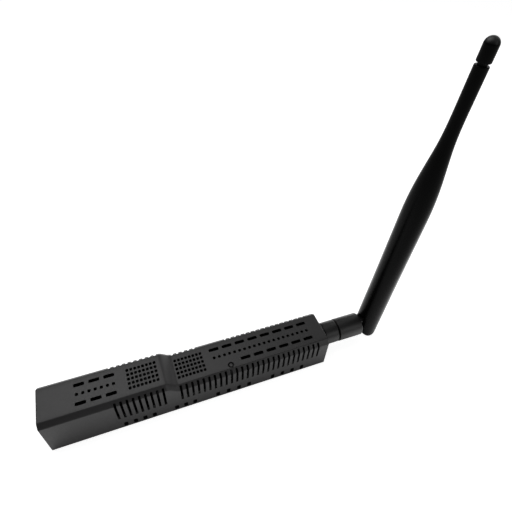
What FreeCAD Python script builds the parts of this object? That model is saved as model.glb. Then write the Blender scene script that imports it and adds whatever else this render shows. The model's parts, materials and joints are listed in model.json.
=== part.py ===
"""Smart home radio stick: a slim vented case with an Ethernet and a USB-C port, and a hinged screw-on antenna.

Frame: millimetres, origin at the centre of the case's flat underside, +Z up,
+X along the case towards the antenna, +Y towards the side away from the button.
The antenna is modelled folded up, as the stick stands in use.
"""

import FreeCAD
import Part

import math
import os

from FreeCAD import Vector

# Case, outside
CASE_LENGTH = 142.3
CASE_WIDTH = 21.2
PORT_HEIGHT = 23.9
RADIO_HEIGHT = 20.0
BEVEL = 2.3
CORNER_RADIUS = 0.6
RIDGE_X = -14.2
VALLEY_X = -11.3
STEP_EASE = 0.8
WALL = 1.6

# Case, derived
END_X = CASE_LENGTH / 2
HALF_WIDTH = CASE_WIDTH / 2
INNER_HALF = HALF_WIDTH - WALL
INNER_END = END_X - WALL
RAMP_ANGLE = math.atan2(PORT_HEIGHT - RADIO_HEIGHT, VALLEY_X - RIDGE_X)
RAMP_SHIFT = WALL * math.tan(RAMP_ANGLE / 2)
INNER_BEVEL = BEVEL - WALL * (2 - math.sqrt(2))

# Vents in the top
VENT_HOLE = 1.25
VENT_DOT = 1.3
VENT_ROW_OFFSET = 4.75
GRID_COLUMNS = 8
GRID_ROWS = 5
GRID_PITCH_X = 1.843
GRID_PITCH_Y = VENT_ROW_OFFSET / 2
PORT_GRID_X = -30.53
RADIO_GRID_X = -7.81
DASH_WIDTH = 1.7
PORT_DASH_X = -52.46
PORT_DASH_PITCH = 6.745
PORT_DASH_LENGTH = 5.0
PORT_DASH_COUNT = 3
PORT_DOT_X = -53.76
PORT_DOT_PITCH = 2.732
PORT_DOT_COUNT = 7
RADIO_DASH_X = 12.25
RADIO_DASH_PITCH = 6.98
RADIO_DASH_LENGTH = 5.25
RADIO_DASH_COUNT = 8
BUTTON_SIDE_SKIPPED = 2
RADIO_DOT_X = 11.16
RADIO_DOT_PITCH = 2.698
RADIO_DOT_COUNT = 20

# Vents in the sides
SLOT_WIDTH = 0.9
SLOT_BOTTOM = 9.2
PORT_SLOT_OVER_BEVEL = 1.25
RADIO_SLOT_OVER_BEVEL = 1.85
SLOT_DEPTH = 2.5
PORT_SLOT_X = -38.62
PORT_SLOT_PITCH = 2.76
PORT_SLOT_COUNT = 9
RADIO_SLOT_X = -8.26
RADIO_SLOT_PITCH = 2.816
RADIO_SLOT_COUNT = 27
BACK_SLOTS_SKIPPED = (5, 6, 7, 8, 9)
WINDOW_WIDTH = 1.85
WINDOW_HEIGHT = 3.2
WINDOW_Z = 2.95
WINDOW_GROUPS = ((-36.6, 4.594, 4), (-11.72, 4.66, 3), (9.66, 5.652, 4), (39.84, 5.661, 4))

# Bottom plate, board and their fixings
PLATE_THICKNESS = 1.4
PLATE_GAP = 0.1
BOARD_BOTTOM = 6.0
BOARD_THICKNESS = 1.2
BOARD_TOP = BOARD_BOTTOM + BOARD_THICKNESS
BOARD_HALF_WIDTH = 8.7
BOARD_START = -69.2
BOARD_END = 68.2
SCREW_X = -12.95
SCREW_Y = 6.2
SCREW_RADIUS = 0.95
SCREW_HEAD_RADIUS = 1.9
SCREW_HEAD_HEIGHT = 1.1
SCREW_LENGTH = 14.0
THREAD_GAP = 0.05
BOSS_RADIUS = 2.4
POST_RADIUS = 2.0
PAD_SIZE = 3.0
PAD_Y = 6.2
PAD_X = (-45.0, 8.0, 36.0, 60.0)
RIB_WIDTH = 1.0
RIB_DEPTH = 1.0
RIB_GAPS = (2, 11, 20)

# Ethernet jack
JACK_START = -71.05
JACK_LENGTH = 21.0
JACK_HALF_WIDTH = 7.95
JACK_HEIGHT = 13.4
SHEET = 0.25
JACK_HOLE_GAP = 0.15
PLUG_FLOOR = 8.6
PLUG_HALF_WIDTH = 5.95
PLUG_SHELF = 15.6
LATCH_HALF_WIDTH = 3.2
LATCH_SHELF = 17.0
CLIP_HALF_WIDTH = 1.75
CLIP_TOP = 18.3
PLUG_DEPTH = 14.0
CONTACT_COUNT = 8
CONTACT_PITCH = 1.02
CONTACT_WIDTH = 0.5
CONTACT_RISE = 1.9
CONTACT_THICKNESS = 0.3
LAMP_Y = 5.6
LAMP_WIDTH = 2.8
LAMP_BOTTOM = 17.4
LAMP_HEIGHT = 2.0
LAMP_DEPTH = 9.0

# Components on the board
TRANSFORMER_X = -28.6
CORE_SIZE = (12.0, 9.0, 11.0)
CORE_LEG = 3.2
WINDOW = (1.6, 4.4)
WINDING_SIZE = (8.6, 13.0, 6.0)
SCREEN_Y = (7.5, 7.9)
TALL_SCREEN_X = (-40.5, -16.4)
TALL_SCREEN_TOP = 20.4
LOW_SCREEN_X = (-10.2, 66.0)
LOW_SCREEN_TOP = 17.2

# USB-C socket under the board
USB_HALF_WIDTH = 4.47
USB_HEIGHT = 3.2
USB_LENGTH = 7.4
USB_WALL = 0.3
USB_HOLE_GAP = 0.2
USB_Z = BOARD_BOTTOM - USB_HEIGHT / 2
USB_TONGUE_WIDTH = 6.7
USB_TONGUE_HEIGHT = 0.7
USB_TONGUE_LENGTH = 5.6

# Button
BUTTON_X = 17.9
BUTTON_Y = -6.45
BUTTON_HOLE_RADIUS = 1.6
BUTTON_STEM_RADIUS = 1.0
BUTTON_TOP = 19.9
SWITCH_SIZE = (4.2, 3.2, 2.5)
PLUNGER_RADIUS = 0.8
PLUNGER_HEIGHT = 0.9
BUTTON_TRAVEL = 0.35
KEEPER_LENGTH = 5.2
KEEPER_HEIGHT = 0.9
KEEPER_GAP = 0.05

# Antenna jack and plug, all on one axis along X
AXIS_Z = 11.3
JACK_FOOT_START = 62.2
JACK_FOOT_WIDTH = 6.4
JACK_FOOT_TOP = 14.6
BARREL_RADIUS = 3.1
BARREL_BORE = 2.05
BARREL_END = 79.2
BARREL_HOLE_RADIUS = 3.4
INSULATOR_END = 78.7
SOCKET_RADIUS = 0.64
SOCKET_BORE = 0.5
SOCKET_DEPTH = 3.0
PIN_RADIUS = 0.45
NUT_START = 72.5
NUT_THREAD_RADIUS = 3.2
NUT_RADIUS = 4.4
NUT_SHOULDER = 80.1
NUT_END = 81.0
NUT_LIP_RADIUS = 2.4
COLLAR_START = 71.9
COLLAR_END = 80.7
COLLAR_RADIUS = 6.15
FERRULE_START = 79.32
FERRULE_FLANGE_END = 80.0
FERRULE_FLANGE_RADIUS = 2.9
FERRULE_RADIUS = 2.3
FERRULE_BORE = 1.6
FERRULE_END = 92.0

# Swivel base and hinge
BASE_START = 81.2
GROOVE_END = 81.7
GROOVE_RADIUS = 5.2
SHOULDER_X = 95.7
BASE_RADIUS = 6.25
SHOULDER_EASE = ((94.9, 6.25), (95.7, 5.6))
PIVOT_X = 102.22
TONGUE_HALF = 2.5
TONGUE_RADIUS = 5.7
TONGUE_SLOT_HALF = 1.1
STUD_RADIUS = 1.0
STUD_END = 5.2
STUD_GAP = 0.05
COAX_RADIUS = 0.9
BASE_COAX_END = 98.0

# Antenna arm: distances along the arm from the hinge pivot
FOLD_ANGLE = 86.8
ARM_RADIUS = 6.3
FORK_GAP = 0.15
FORK_FLOOR = 6.4
CONE_START = 87.0
CONE_START_EASE = 11.0
CONE_END = 114.3
CONE_END_RADIUS = 2.94
CONE_END_EASE = 9.7
TAPER_END = 124.0
EASE_BANDS = 2
MAST_RADIUS = 2.75
MAST_END = 143.1
TIP_START = 144.0
TIP_RADIUS = 2.75
TIP_END = 152.6
DOME_BANDS = 3
TIP_STUD_RADIUS = 1.8
TIP_STUD_LENGTH = 4.0
ARM_COAX_START = 9.0
SLEEVE_START = 20.0
SLEEVE_END = 50.0
SLEEVE_RADIUS = 2.6
SLEEVE_WALL = 0.3
RADIATOR_RADIUS = 0.4
RADIATOR_END = 136.0


def block(x, y, z):
    """A box between two values along each axis."""
    return Part.makeBox(x[1] - x[0], y[1] - y[0], z[1] - z[0], Vector(x[0], y[0], z[0]))


def centred(x, y, z, size):
    """A box standing on height z, centred on x and y."""
    return Part.makeBox(size[0], size[1], size[2], Vector(x - size[0] / 2, y - size[1] / 2, z))


def upright(x, y, z, radius, height):
    """A cylinder along Z standing on height z."""
    return Part.makeCylinder(radius, height, Vector(x, y, z), Vector(0, 0, 1))


def lying(start, end, radius):
    """A cylinder along the antenna jack's axis."""
    return Part.makeCylinder(radius, end - start, Vector(start, 0, AXIS_Z), Vector(1, 0, 0))


def prism(points, direction):
    """A closed outline of points swept along a direction."""
    return Part.Face(Part.makePolygon(points + [points[0]])).extrude(direction)


def obround(centre, long_way, half_length, radius, sweep):
    """A slot with round ends: long_way is its long direction and sweep its depth."""
    across = sweep.cross(long_way).normalize() * radius
    reach = long_way * (half_length - radius)
    tip = long_way * half_length
    corners = (centre - reach + across, centre + reach + across, centre + reach - across, centre - reach - across)
    edges = [
        Part.LineSegment(corners[0], corners[1]).toShape(),
        Part.Arc(corners[1], centre + tip, corners[2]).toShape(),
        Part.LineSegment(corners[2], corners[3]).toShape(),
        Part.Arc(corners[3], centre - tip, corners[0]).toShape(),
    ]
    return Part.Face(Part.Wire(edges)).extrude(sweep)


def upright_edges(shape):
    """The edges of a shape that run along Z."""
    return [e for e in shape.Edges if max(e.BoundBox.XLength, e.BoundBox.YLength) < 0.001]


def turned(points):
    """A solid turned about X from (x, radius) points, the first and last of them on the axis."""
    outline = [Vector(x, 0, radius) for x, radius in points]
    face = Part.Face(Part.makePolygon(outline + [outline[0]]))
    return face.revolve(Vector(0, 0, 0), Vector(1, 0, 0), 360)


def eased(before, corner, after, reach):
    """Points of a soft bend in a profile, in place of a corner: it starts and ends reach away from the corner along X."""
    start_slope = (corner[1] - before[1]) / (corner[0] - before[0])
    end_slope = (after[1] - corner[1]) / (after[0] - corner[0])
    points = []
    for i in range(EASE_BANDS + 1):
        u = i / EASE_BANDS
        x = corner[0] + reach * (2 * u - 1)
        radius = corner[1] + reach * (u * u * end_slope - (1 - u) * (1 - u) * start_slope)
        points.append((x, radius))
    return points


def section(x, half_width, height, bevel):
    """The case's cross section at x: a rectangle with both top corners cut off."""
    side, shoulder = half_width - bevel, height - bevel
    outline = [(-half_width, 0), (half_width, 0), (half_width, shoulder), (side, height)]
    outline += [(-side, height), (-half_width, shoulder)]
    points = [Vector(x, y, z) for y, z in outline]
    return Part.makePolygon(points + [points[0]])


def stepped_body(end_x, half_width, port_height, radio_height, bevel, shift):
    """The case's form: a thick half, a ramp with eased edges and a thin half, lofted through its sections."""
    ridge, valley = RIDGE_X - shift, VALLEY_X - shift
    drop = STEP_EASE * (port_height - radio_height) / (valley - ridge)
    stations = [(-end_x, port_height), (ridge - STEP_EASE, port_height), (ridge + STEP_EASE, port_height - drop)]
    stations += [(valley - STEP_EASE, radio_height + drop), (valley + STEP_EASE, radio_height), (end_x, radio_height)]
    wires = [section(x, half_width, height, bevel) for x, height in stations]
    return Part.makeLoft(wires, True, True)


def case_outside():
    """The outer form, with its four upright corners rounded."""
    body = stepped_body(END_X, HALF_WIDTH, PORT_HEIGHT, RADIO_HEIGHT, BEVEL, 0)
    plan = block((-END_X, END_X), (-HALF_WIDTH, HALF_WIDTH), (0, PORT_HEIGHT))
    return body.common(plan.makeFillet(CORNER_RADIUS, upright_edges(plan)))


def top_vent(x, y, length, width):
    """A cutter for one square or long vent through the top."""
    roof = RADIO_HEIGHT - 2 * WALL
    return centred(x, y, roof, (length, width, PORT_HEIGHT - roof + 1))


def top_vents():
    """Cutters for the grids of square vents, the dots and the dashes in the top of both halves."""
    cutters = []
    for start in (PORT_GRID_X, RADIO_GRID_X):
        for column in range(GRID_COLUMNS):
            for row in range(GRID_ROWS):
                y = (row - (GRID_ROWS - 1) / 2) * GRID_PITCH_Y
                cutters.append(top_vent(start + column * GRID_PITCH_X, y, VENT_HOLE, VENT_HOLE))
    dots = [PORT_DOT_X + i * PORT_DOT_PITCH for i in range(PORT_DOT_COUNT)]
    dots += [RADIO_DOT_X + i * RADIO_DOT_PITCH for i in range(RADIO_DOT_COUNT)]
    cutters += [top_vent(x, 0, VENT_DOT, VENT_DOT) for x in dots]
    for side in (-1, 1):
        y = side * VENT_ROW_OFFSET
        for i in range(PORT_DASH_COUNT):
            cutters.append(top_vent(PORT_DASH_X + i * PORT_DASH_PITCH, y, PORT_DASH_LENGTH, DASH_WIDTH))
        first = BUTTON_SIDE_SKIPPED if side < 0 else 0
        for i in range(first, RADIO_DASH_COUNT):
            cutters.append(top_vent(RADIO_DASH_X + i * RADIO_DASH_PITCH, y, RADIO_DASH_LENGTH, DASH_WIDTH))
    return cutters


def side_vents():
    """Cutters for the tall slots, which run up over the bevel, and the small windows below them."""
    cutters = []
    port_top = PORT_HEIGHT - BEVEL + PORT_SLOT_OVER_BEVEL
    radio_top = RADIO_HEIGHT - BEVEL + RADIO_SLOT_OVER_BEVEL
    port_places = [PORT_SLOT_X + i * PORT_SLOT_PITCH for i in range(PORT_SLOT_COUNT)]
    for side in (-1, 1):
        outer = side * (HALF_WIDTH + 1)
        kept = [i for i in range(RADIO_SLOT_COUNT) if side < 0 or i not in BACK_SLOTS_SKIPPED]
        radio_places = [RADIO_SLOT_X + i * RADIO_SLOT_PITCH for i in kept]
        for places, top in ((port_places, port_top), (radio_places, radio_top)):
            size = (SLOT_WIDTH, 2 * (SLOT_DEPTH + 1), top - SLOT_BOTTOM)
            cutters += [centred(x, outer, SLOT_BOTTOM, size) for x in places]
        for start, pitch, count in WINDOW_GROUPS:
            size = (WINDOW_WIDTH, 2 * (WALL + 1), WINDOW_HEIGHT)
            bottom = WINDOW_Z - WINDOW_HEIGHT / 2
            cutters += [centred(start + i * pitch, outer, bottom, size) for i in range(count)]
    return cutters


def plug_outline(x, grow):
    """The outline of the Ethernet plug's cavity at x, grown outwards all round."""
    half = [(PLUG_HALF_WIDTH + grow, PLUG_FLOOR - grow), (PLUG_HALF_WIDTH + grow, PLUG_SHELF + grow)]
    half += [(LATCH_HALF_WIDTH + grow, PLUG_SHELF + grow), (LATCH_HALF_WIDTH + grow, LATCH_SHELF + grow)]
    half += [(CLIP_HALF_WIDTH + grow, LATCH_SHELF + grow), (CLIP_HALF_WIDTH + grow, CLIP_TOP + grow)]
    other = [(-y, z) for y, z in reversed(half)]
    return [Vector(x, y, z) for y, z in half + other]


def usb_body(start, end, grow):
    """The rounded tube form of the USB-C socket, grown outwards."""
    radius = USB_HEIGHT / 2 + grow
    centre = Vector(start, 0, USB_Z)
    return obround(centre, Vector(0, 1, 0), USB_HALF_WIDTH + grow, radius, Vector(end - start, 0, 0))


def upper_shell():
    """The moulded cover: top, sides and both ends, with vents, port openings, screw bosses and board ribs."""
    outside = case_outside()
    inside = stepped_body(
        INNER_END, INNER_HALF, PORT_HEIGHT - WALL, RADIO_HEIGHT - WALL, INNER_BEVEL, RAMP_SHIFT
    )
    additions = []
    for side in (-1, 1):
        boss = upright(SCREW_X, side * SCREW_Y, BOARD_TOP, BOSS_RADIUS, PORT_HEIGHT)
        boss = boss.cut(upright(SCREW_X, side * SCREW_Y, 0, SCREW_RADIUS + THREAD_GAP, SCREW_LENGTH + 1))
        additions.append(boss.common(outside))
        for gap in RIB_GAPS:
            x = RADIO_SLOT_X + (gap + 0.5) * RADIO_SLOT_PITCH
            wall = side * (HALF_WIDTH - WALL / 2)
            tip = side * (INNER_HALF - RIB_DEPTH)
            rib = block((x - RIB_WIDTH / 2, x + RIB_WIDTH / 2), sorted((wall, tip)), (BOARD_TOP, RADIO_HEIGHT))
            additions.append(rib.common(outside))
    shell = outside.cut(inside).fuse(additions)
    gap = JACK_HOLE_GAP
    jack_hole = block(
        (-END_X - 1, -INNER_END + 1),
        (-JACK_HALF_WIDTH - gap, JACK_HALF_WIDTH + gap),
        (BOARD_TOP - gap, BOARD_TOP + JACK_HEIGHT + gap),
    )
    usb_hole = usb_body(-END_X - 1, -INNER_END + 1, USB_HOLE_GAP)
    barrel_hole = lying(INNER_END - 1, END_X + 1, BARREL_HOLE_RADIUS)
    button_hole = upright(BUTTON_X, BUTTON_Y, RADIO_HEIGHT - 2 * WALL, BUTTON_HOLE_RADIUS, 3 * WALL)
    cutters = [jack_hole, usb_hole, barrel_hole, button_hole]
    return shell.cut(cutters + top_vents() + side_vents()).removeSplitter()


def bottom_plate():
    """The flat underside: a plate let into the cover, with two screw posts and square pads for the board."""
    reach = INNER_END - PLATE_GAP
    half = INNER_HALF - PLATE_GAP
    plate = block((-reach, reach), (-half, half), (0, PLATE_THICKNESS))
    posts, holes = [], []
    height = BOARD_BOTTOM - PLATE_THICKNESS
    for side in (-1, 1):
        posts.append(upright(SCREW_X, side * SCREW_Y, PLATE_THICKNESS, POST_RADIUS, height))
        posts += [centred(x, side * PAD_Y, PLATE_THICKNESS, (PAD_SIZE, PAD_SIZE, height)) for x in PAD_X]
        holes.append(upright(SCREW_X, side * SCREW_Y, -1, SCREW_RADIUS + THREAD_GAP, BOARD_BOTTOM + 2))
        holes.append(screw_head(SCREW_X, side * SCREW_Y))
    return plate.fuse(posts).cut(holes).removeSplitter()


def screw_head(x, y):
    """A countersunk head, flush with the underside."""
    return Part.makeCone(SCREW_HEAD_RADIUS, SCREW_RADIUS, SCREW_HEAD_HEIGHT, Vector(x, y, 0), Vector(0, 0, 1))


def case_screws():
    """Two countersunk screws with cross recesses, threads left plain."""
    screws = []
    for side in (-1, 1):
        y = side * SCREW_Y
        screw = screw_head(SCREW_X, y).fuse(upright(SCREW_X, y, 0, SCREW_RADIUS, SCREW_LENGTH))
        for size in ((2.0, 0.4, 1.4), (0.4, 2.0, 1.4)):
            screw = screw.cut(centred(SCREW_X, y, -0.7, size))
        screws.append(screw)
    return Part.makeCompound(screws)


def main_board():
    """The circuit board, with holes for the two screws."""
    board = block((BOARD_START, BOARD_END), (-BOARD_HALF_WIDTH, BOARD_HALF_WIDTH), (BOARD_BOTTOM, BOARD_TOP))
    holes = [upright(SCREW_X, side * SCREW_Y, 0, SCREW_RADIUS + 0.15, BOARD_TOP + 1) for side in (-1, 1)]
    return board.cut(holes)


def ethernet_housing():
    """The jack's moulded body with the plug cavity and two lamp tunnels."""
    body = block(
        (JACK_START + SHEET, JACK_START + JACK_LENGTH - SHEET),
        (-JACK_HALF_WIDTH + SHEET, JACK_HALF_WIDTH - SHEET),
        (BOARD_TOP, BOARD_TOP + JACK_HEIGHT - SHEET),
    )
    cavity = prism(plug_outline(JACK_START, 0), Vector(PLUG_DEPTH, 0, 0))
    tunnels = [lamp(side, JACK_START) for side in (-1, 1)]
    return body.cut([cavity] + tunnels)


def lamp(side, start):
    """One indicator light guide of the Ethernet jack."""
    low, high = side * LAMP_Y - LAMP_WIDTH / 2, side * LAMP_Y + LAMP_WIDTH / 2
    return block((start, JACK_START + LAMP_DEPTH), (low, high), (LAMP_BOTTOM, LAMP_BOTTOM + LAMP_HEIGHT))


def ethernet_lamps():
    """Both light guides."""
    return Part.makeCompound([lamp(side, JACK_START + SHEET / 2) for side in (-1, 1)])


def ethernet_shield():
    """The folded sheet round the jack: front, top, sides and back, open below."""
    outer = block(
        (JACK_START, JACK_START + JACK_LENGTH),
        (-JACK_HALF_WIDTH, JACK_HALF_WIDTH),
        (BOARD_TOP, BOARD_TOP + JACK_HEIGHT),
    )
    inner = block(
        (JACK_START + SHEET, JACK_START + JACK_LENGTH - SHEET),
        (-JACK_HALF_WIDTH + SHEET, JACK_HALF_WIDTH - SHEET),
        (BOARD_TOP - 1, BOARD_TOP + JACK_HEIGHT - SHEET),
    )
    mouth = prism(plug_outline(JACK_START - 1, 0.1), Vector(2, 0, 0))
    windows = [lamp(side, JACK_START - 1) for side in (-1, 1)]
    return outer.cut([inner, mouth] + windows)


def ethernet_contacts():
    """Eight spring wires that slope up from the cavity's floor to its back wall."""
    back = JACK_START + PLUG_DEPTH
    front = back - PLUG_DEPTH + 1.4
    top = PLUG_FLOOR + CONTACT_RISE
    wires = []
    for i in range(CONTACT_COUNT):
        y = (i - (CONTACT_COUNT - 1) / 2) * CONTACT_PITCH - CONTACT_WIDTH / 2
        outline = [(front, PLUG_FLOOR), (front + 1.2, PLUG_FLOOR), (back, top - CONTACT_THICKNESS), (back, top)]
        wires.append(prism([Vector(x, y, z) for x, z in outline], Vector(0, CONTACT_WIDTH, 0)))
    return Part.makeCompound(wires)


def usb_shell():
    """The USB-C socket's drawn metal shell, closed at the back."""
    end = JACK_START + USB_LENGTH
    return usb_body(JACK_START, end, 0).cut(usb_body(JACK_START, end - USB_WALL, -USB_WALL))


def usb_tongue():
    """The contact tongue in the middle of the USB-C socket."""
    end = JACK_START + USB_LENGTH - USB_WALL
    half, thick = USB_TONGUE_WIDTH / 2, USB_TONGUE_HEIGHT / 2
    return block((end - USB_TONGUE_LENGTH, end), (-half, half), (USB_Z - thick, USB_Z + thick))


def on_board(x, y, size):
    """A component standing on the board."""
    return centred(x, y, BOARD_TOP, size)


def lan_magnetics():
    """The sealed block of signal transformers behind the Ethernet jack."""
    body = on_board(-43.6, -3.2, (9.4, 8.6, 5.6))
    return body.makeChamfer(0.4, [e for e in body.Edges if e.BoundBox.ZMin > BOARD_TOP + 5])


def transformer_core():
    """The power transformer's ferrite core: a ring with a middle leg, seen from the side."""
    core = on_board(TRANSFORMER_X, 0, CORE_SIZE)
    for side in (-1, 1):
        low, high = sorted((TRANSFORMER_X + side * WINDOW[0], TRANSFORMER_X + side * WINDOW[1]))
        core = core.cut(block((low, high), (-5, 5), (BOARD_TOP + 2.2, BOARD_TOP + 8.8)))
    return core


def transformer_winding():
    """The taped winding round the core's middle leg."""
    outer = centred(TRANSFORMER_X, 0, BOARD_TOP + 2.5, WINDING_SIZE)
    leg = centred(TRANSFORMER_X, 0, BOARD_TOP, (CORE_LEG, CORE_SIZE[1], CORE_SIZE[2]))
    return outer.makeFillet(0.8, upright_edges(outer)).cut(leg)


def insulation_screen():
    """The stiff film that stands along the board's back edge, behind the slots, in two lengths."""
    tall = block(TALL_SCREEN_X, SCREEN_Y, (BOARD_TOP, TALL_SCREEN_TOP))
    low = block(LOW_SCREEN_X, SCREEN_Y, (BOARD_TOP, LOW_SCREEN_TOP))
    return Part.makeCompound([tall, low])


def supply_capacitors():
    """Two standing electrolytic cans."""
    return Part.makeCompound([upright(-18.9, y, BOARD_TOP, 3.15, 11.0) for y in (-4.2, 4.2)])


def supply_inductor():
    """The square choke of the power supply."""
    coil = on_board(-43.6, 5.0, (5.6, 5.6, 3.0))
    return coil.makeFillet(0.8, upright_edges(coil))


def module_can(x, size, base):
    """A module's pressed metal can on its small board."""
    can = centred(x, 0, BOARD_TOP + base, size)
    return can.makeFillet(0.4, [e for e in can.Edges if e.BoundBox.ZMin > BOARD_TOP + base + 0.1])


def board_chips():
    """Flat chip packages on top of the board and the USB bridge under it."""
    chips = [on_board(x, y, size) for x, y, size in (
        (-5.0, 0.6, (6.0, 6.0, 0.9)),
        (6.4, 4.4, (4.0, 4.0, 0.9)),
        (55.0, -3.4, (5.0, 4.4, 1.2)),
    )]
    chips.append(centred(-56.0, 0, BOARD_BOTTOM - 0.9, (5.0, 5.0, 0.9)))
    return Part.makeCompound(chips)


def crystals():
    """Two small metal can crystals."""
    return Part.makeCompound([on_board(1.4, -4.6, (3.2, 2.5, 0.8)), on_board(55.0, 3.0, (3.2, 2.5, 0.8))])


def status_lights():
    """Two chip LEDs that shine through the vents."""
    return Part.makeCompound([on_board(11.2, 6.4, (1.6, 0.8, 0.6)), on_board(57.0, 6.6, (1.6, 0.8, 0.6))])


def switch_body():
    """The push switch under the button, with the plunger's well in its top."""
    body = on_board(BUTTON_X, BUTTON_Y, SWITCH_SIZE)
    well = upright(BUTTON_X, BUTTON_Y, BOARD_TOP + 1.0, PLUNGER_RADIUS + 0.1, SWITCH_SIZE[2])
    return body.cut(well)


def switch_plunger():
    """The switch's moving plunger, which the button cap's stem rests on."""
    start = BOARD_TOP + 1.0 + BUTTON_TRAVEL + 0.1
    top = BOARD_TOP + SWITCH_SIZE[2] + PLUNGER_HEIGHT
    return upright(BUTTON_X, BUTTON_Y, start, PLUNGER_RADIUS, top - start)


def button_cap():
    """The button: a long stem with a dished top, and a keeper bar that holds it under the roof."""
    bottom = BOARD_TOP + SWITCH_SIZE[2] + PLUNGER_HEIGHT
    stem = upright(BUTTON_X, BUTTON_Y, bottom, BUTTON_STEM_RADIUS, BUTTON_TOP - bottom)
    stem = stem.makeChamfer(0.2, [e for e in stem.Edges if e.BoundBox.ZMin > BUTTON_TOP - 0.1])
    keeper_top = RADIO_HEIGHT - WALL - KEEPER_GAP
    size = (KEEPER_LENGTH, 2 * BUTTON_STEM_RADIUS - 0.3, KEEPER_HEIGHT)
    keeper = centred(BUTTON_X, BUTTON_Y, keeper_top - KEEPER_HEIGHT, size)
    return stem.fuse(keeper).removeSplitter()


def antenna_jack():
    """The board mounted antenna jack: a square foot, and a barrel that leaves through the end wall."""
    half = JACK_FOOT_WIDTH / 2
    foot = block((JACK_FOOT_START, INNER_END - 0.1), (-half, half), (BOARD_TOP, JACK_FOOT_TOP))
    barrel = lying(INNER_END - 0.5, BARREL_END, BARREL_RADIUS)
    bore = lying(JACK_FOOT_START + 1.0, BARREL_END + 1, BARREL_BORE)
    return foot.fuse(barrel).cut(bore).removeSplitter()


def jack_insulator():
    """The white insulator that fills the jack's bore."""
    return lying(JACK_FOOT_START + 1.0, INSULATOR_END, BARREL_BORE).cut(
        lying(JACK_FOOT_START, BARREL_END, SOCKET_RADIUS)
    )


def jack_contact():
    """The jack's centre contact, with a socket in its end."""
    start = JACK_FOOT_START + 1.0
    socket = lying(INSULATOR_END - SOCKET_DEPTH, INSULATOR_END + 1, SOCKET_BORE)
    return lying(start, INSULATOR_END, SOCKET_RADIUS).cut(socket)


def hexagon(start, end, radius):
    """A six sided bar along the antenna jack's axis, radius out to its corners."""
    corners = [math.radians(60 * i) for i in range(6)]
    points = [Vector(start, radius * math.cos(a), AXIS_Z + radius * math.sin(a)) for a in corners]
    return prism(points, Vector(end - start, 0, 0))


def coupling_nut():
    """The hexagonal metal nut in the collar: it screws on the barrel and holds the plug by its lip."""
    nut = hexagon(NUT_START, NUT_END, NUT_RADIUS)
    thread = lying(NUT_START - 1, NUT_SHOULDER, NUT_THREAD_RADIUS)
    return nut.cut([thread, lying(NUT_START, NUT_END + 1, NUT_LIP_RADIUS)])


def antenna_collar():
    """The plain plastic sleeve over the nut, which the fingers turn."""
    sleeve = lying(COLLAR_START, COLLAR_END, COLLAR_RADIUS)
    return sleeve.cut([hexagon(NUT_START, NUT_END, NUT_RADIUS), lying(COLLAR_START - 1, NUT_START + 1, BARREL_HOLE_RADIUS)])


def plug_ferrule():
    """The plug's metal tube, with the flange that the nut's lip holds."""
    tube = lying(FERRULE_START, FERRULE_END, FERRULE_RADIUS)
    flange = lying(FERRULE_START, FERRULE_FLANGE_END, FERRULE_FLANGE_RADIUS)
    return tube.fuse(flange).cut(lying(FERRULE_START - 1, FERRULE_END + 1, FERRULE_BORE))


def plug_insulator():
    """The insulator in the plug."""
    return lying(FERRULE_START, FERRULE_START + 5, FERRULE_BORE).cut(lying(FERRULE_START - 1, FERRULE_END, PIN_RADIUS))


def plug_pin():
    """The plug's centre pin, which reaches into the jack's socket."""
    return lying(INSULATOR_END - SOCKET_DEPTH + 0.6, FERRULE_START + 5, PIN_RADIUS)


def base_coax():
    """The coax from the plug to the hinge, inside the swivel base."""
    start = FERRULE_START + 5
    return lying(start, BASE_COAX_END, COAX_RADIUS)


def swivel_base():
    """The turning base: a spigot in the groove, a round body with a rounded shoulder and the hinge tongue."""
    spigot = lying(BASE_START, GROOVE_END, GROOVE_RADIUS)
    outline = [(GROOVE_END, 0), (GROOVE_END, BASE_RADIUS)] + list(SHOULDER_EASE) + [(SHOULDER_X, 0)]
    body = turned(outline)
    body.translate(Vector(0, 0, AXIS_Z))
    reach = PIVOT_X + TONGUE_RADIUS
    tongue = block(
        (SHOULDER_X - 3, PIVOT_X), (-TONGUE_HALF, TONGUE_HALF), (AXIS_Z - TONGUE_RADIUS, AXIS_Z + TONGUE_RADIUS)
    )
    tongue = tongue.fuse(across_hinge(-TONGUE_HALF, TONGUE_HALF, TONGUE_RADIUS))
    cuts = [
        lying(BASE_START - 1, FERRULE_END, FERRULE_RADIUS),
        lying(FERRULE_END - 1, BASE_COAX_END, COAX_RADIUS),
        block(
            (BASE_COAX_END - 1, reach + 1),
            (-TONGUE_SLOT_HALF, TONGUE_SLOT_HALF),
            (AXIS_Z - COAX_RADIUS, AXIS_Z + TONGUE_RADIUS + 1),
        ),
        across_hinge(-TONGUE_HALF - 1, TONGUE_HALF + 1, STUD_RADIUS + STUD_GAP),
    ]
    return spigot.fuse([body, tongue]).cut(cuts).removeSplitter()


def across_hinge(low, high, radius):
    """A cylinder along the hinge axis."""
    return Part.makeCylinder(radius, high - low, Vector(PIVOT_X, low, AXIS_Z), Vector(0, 1, 0))


def fold(shape):
    """Turns a piece drawn along +X from the pivot up to the arm's folded pose."""
    shape.translate(Vector(PIVOT_X, 0, AXIS_Z))
    shape.rotate(Vector(PIVOT_X, 0, AXIS_Z), Vector(0, 1, 0), -FOLD_ANGLE)
    return shape


def on_arm(start, end, radius):
    """A cylinder along the straight arm, from the pivot at the origin."""
    return Part.makeCylinder(radius, end - start, Vector(start, 0, 0), Vector(1, 0, 0))


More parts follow.
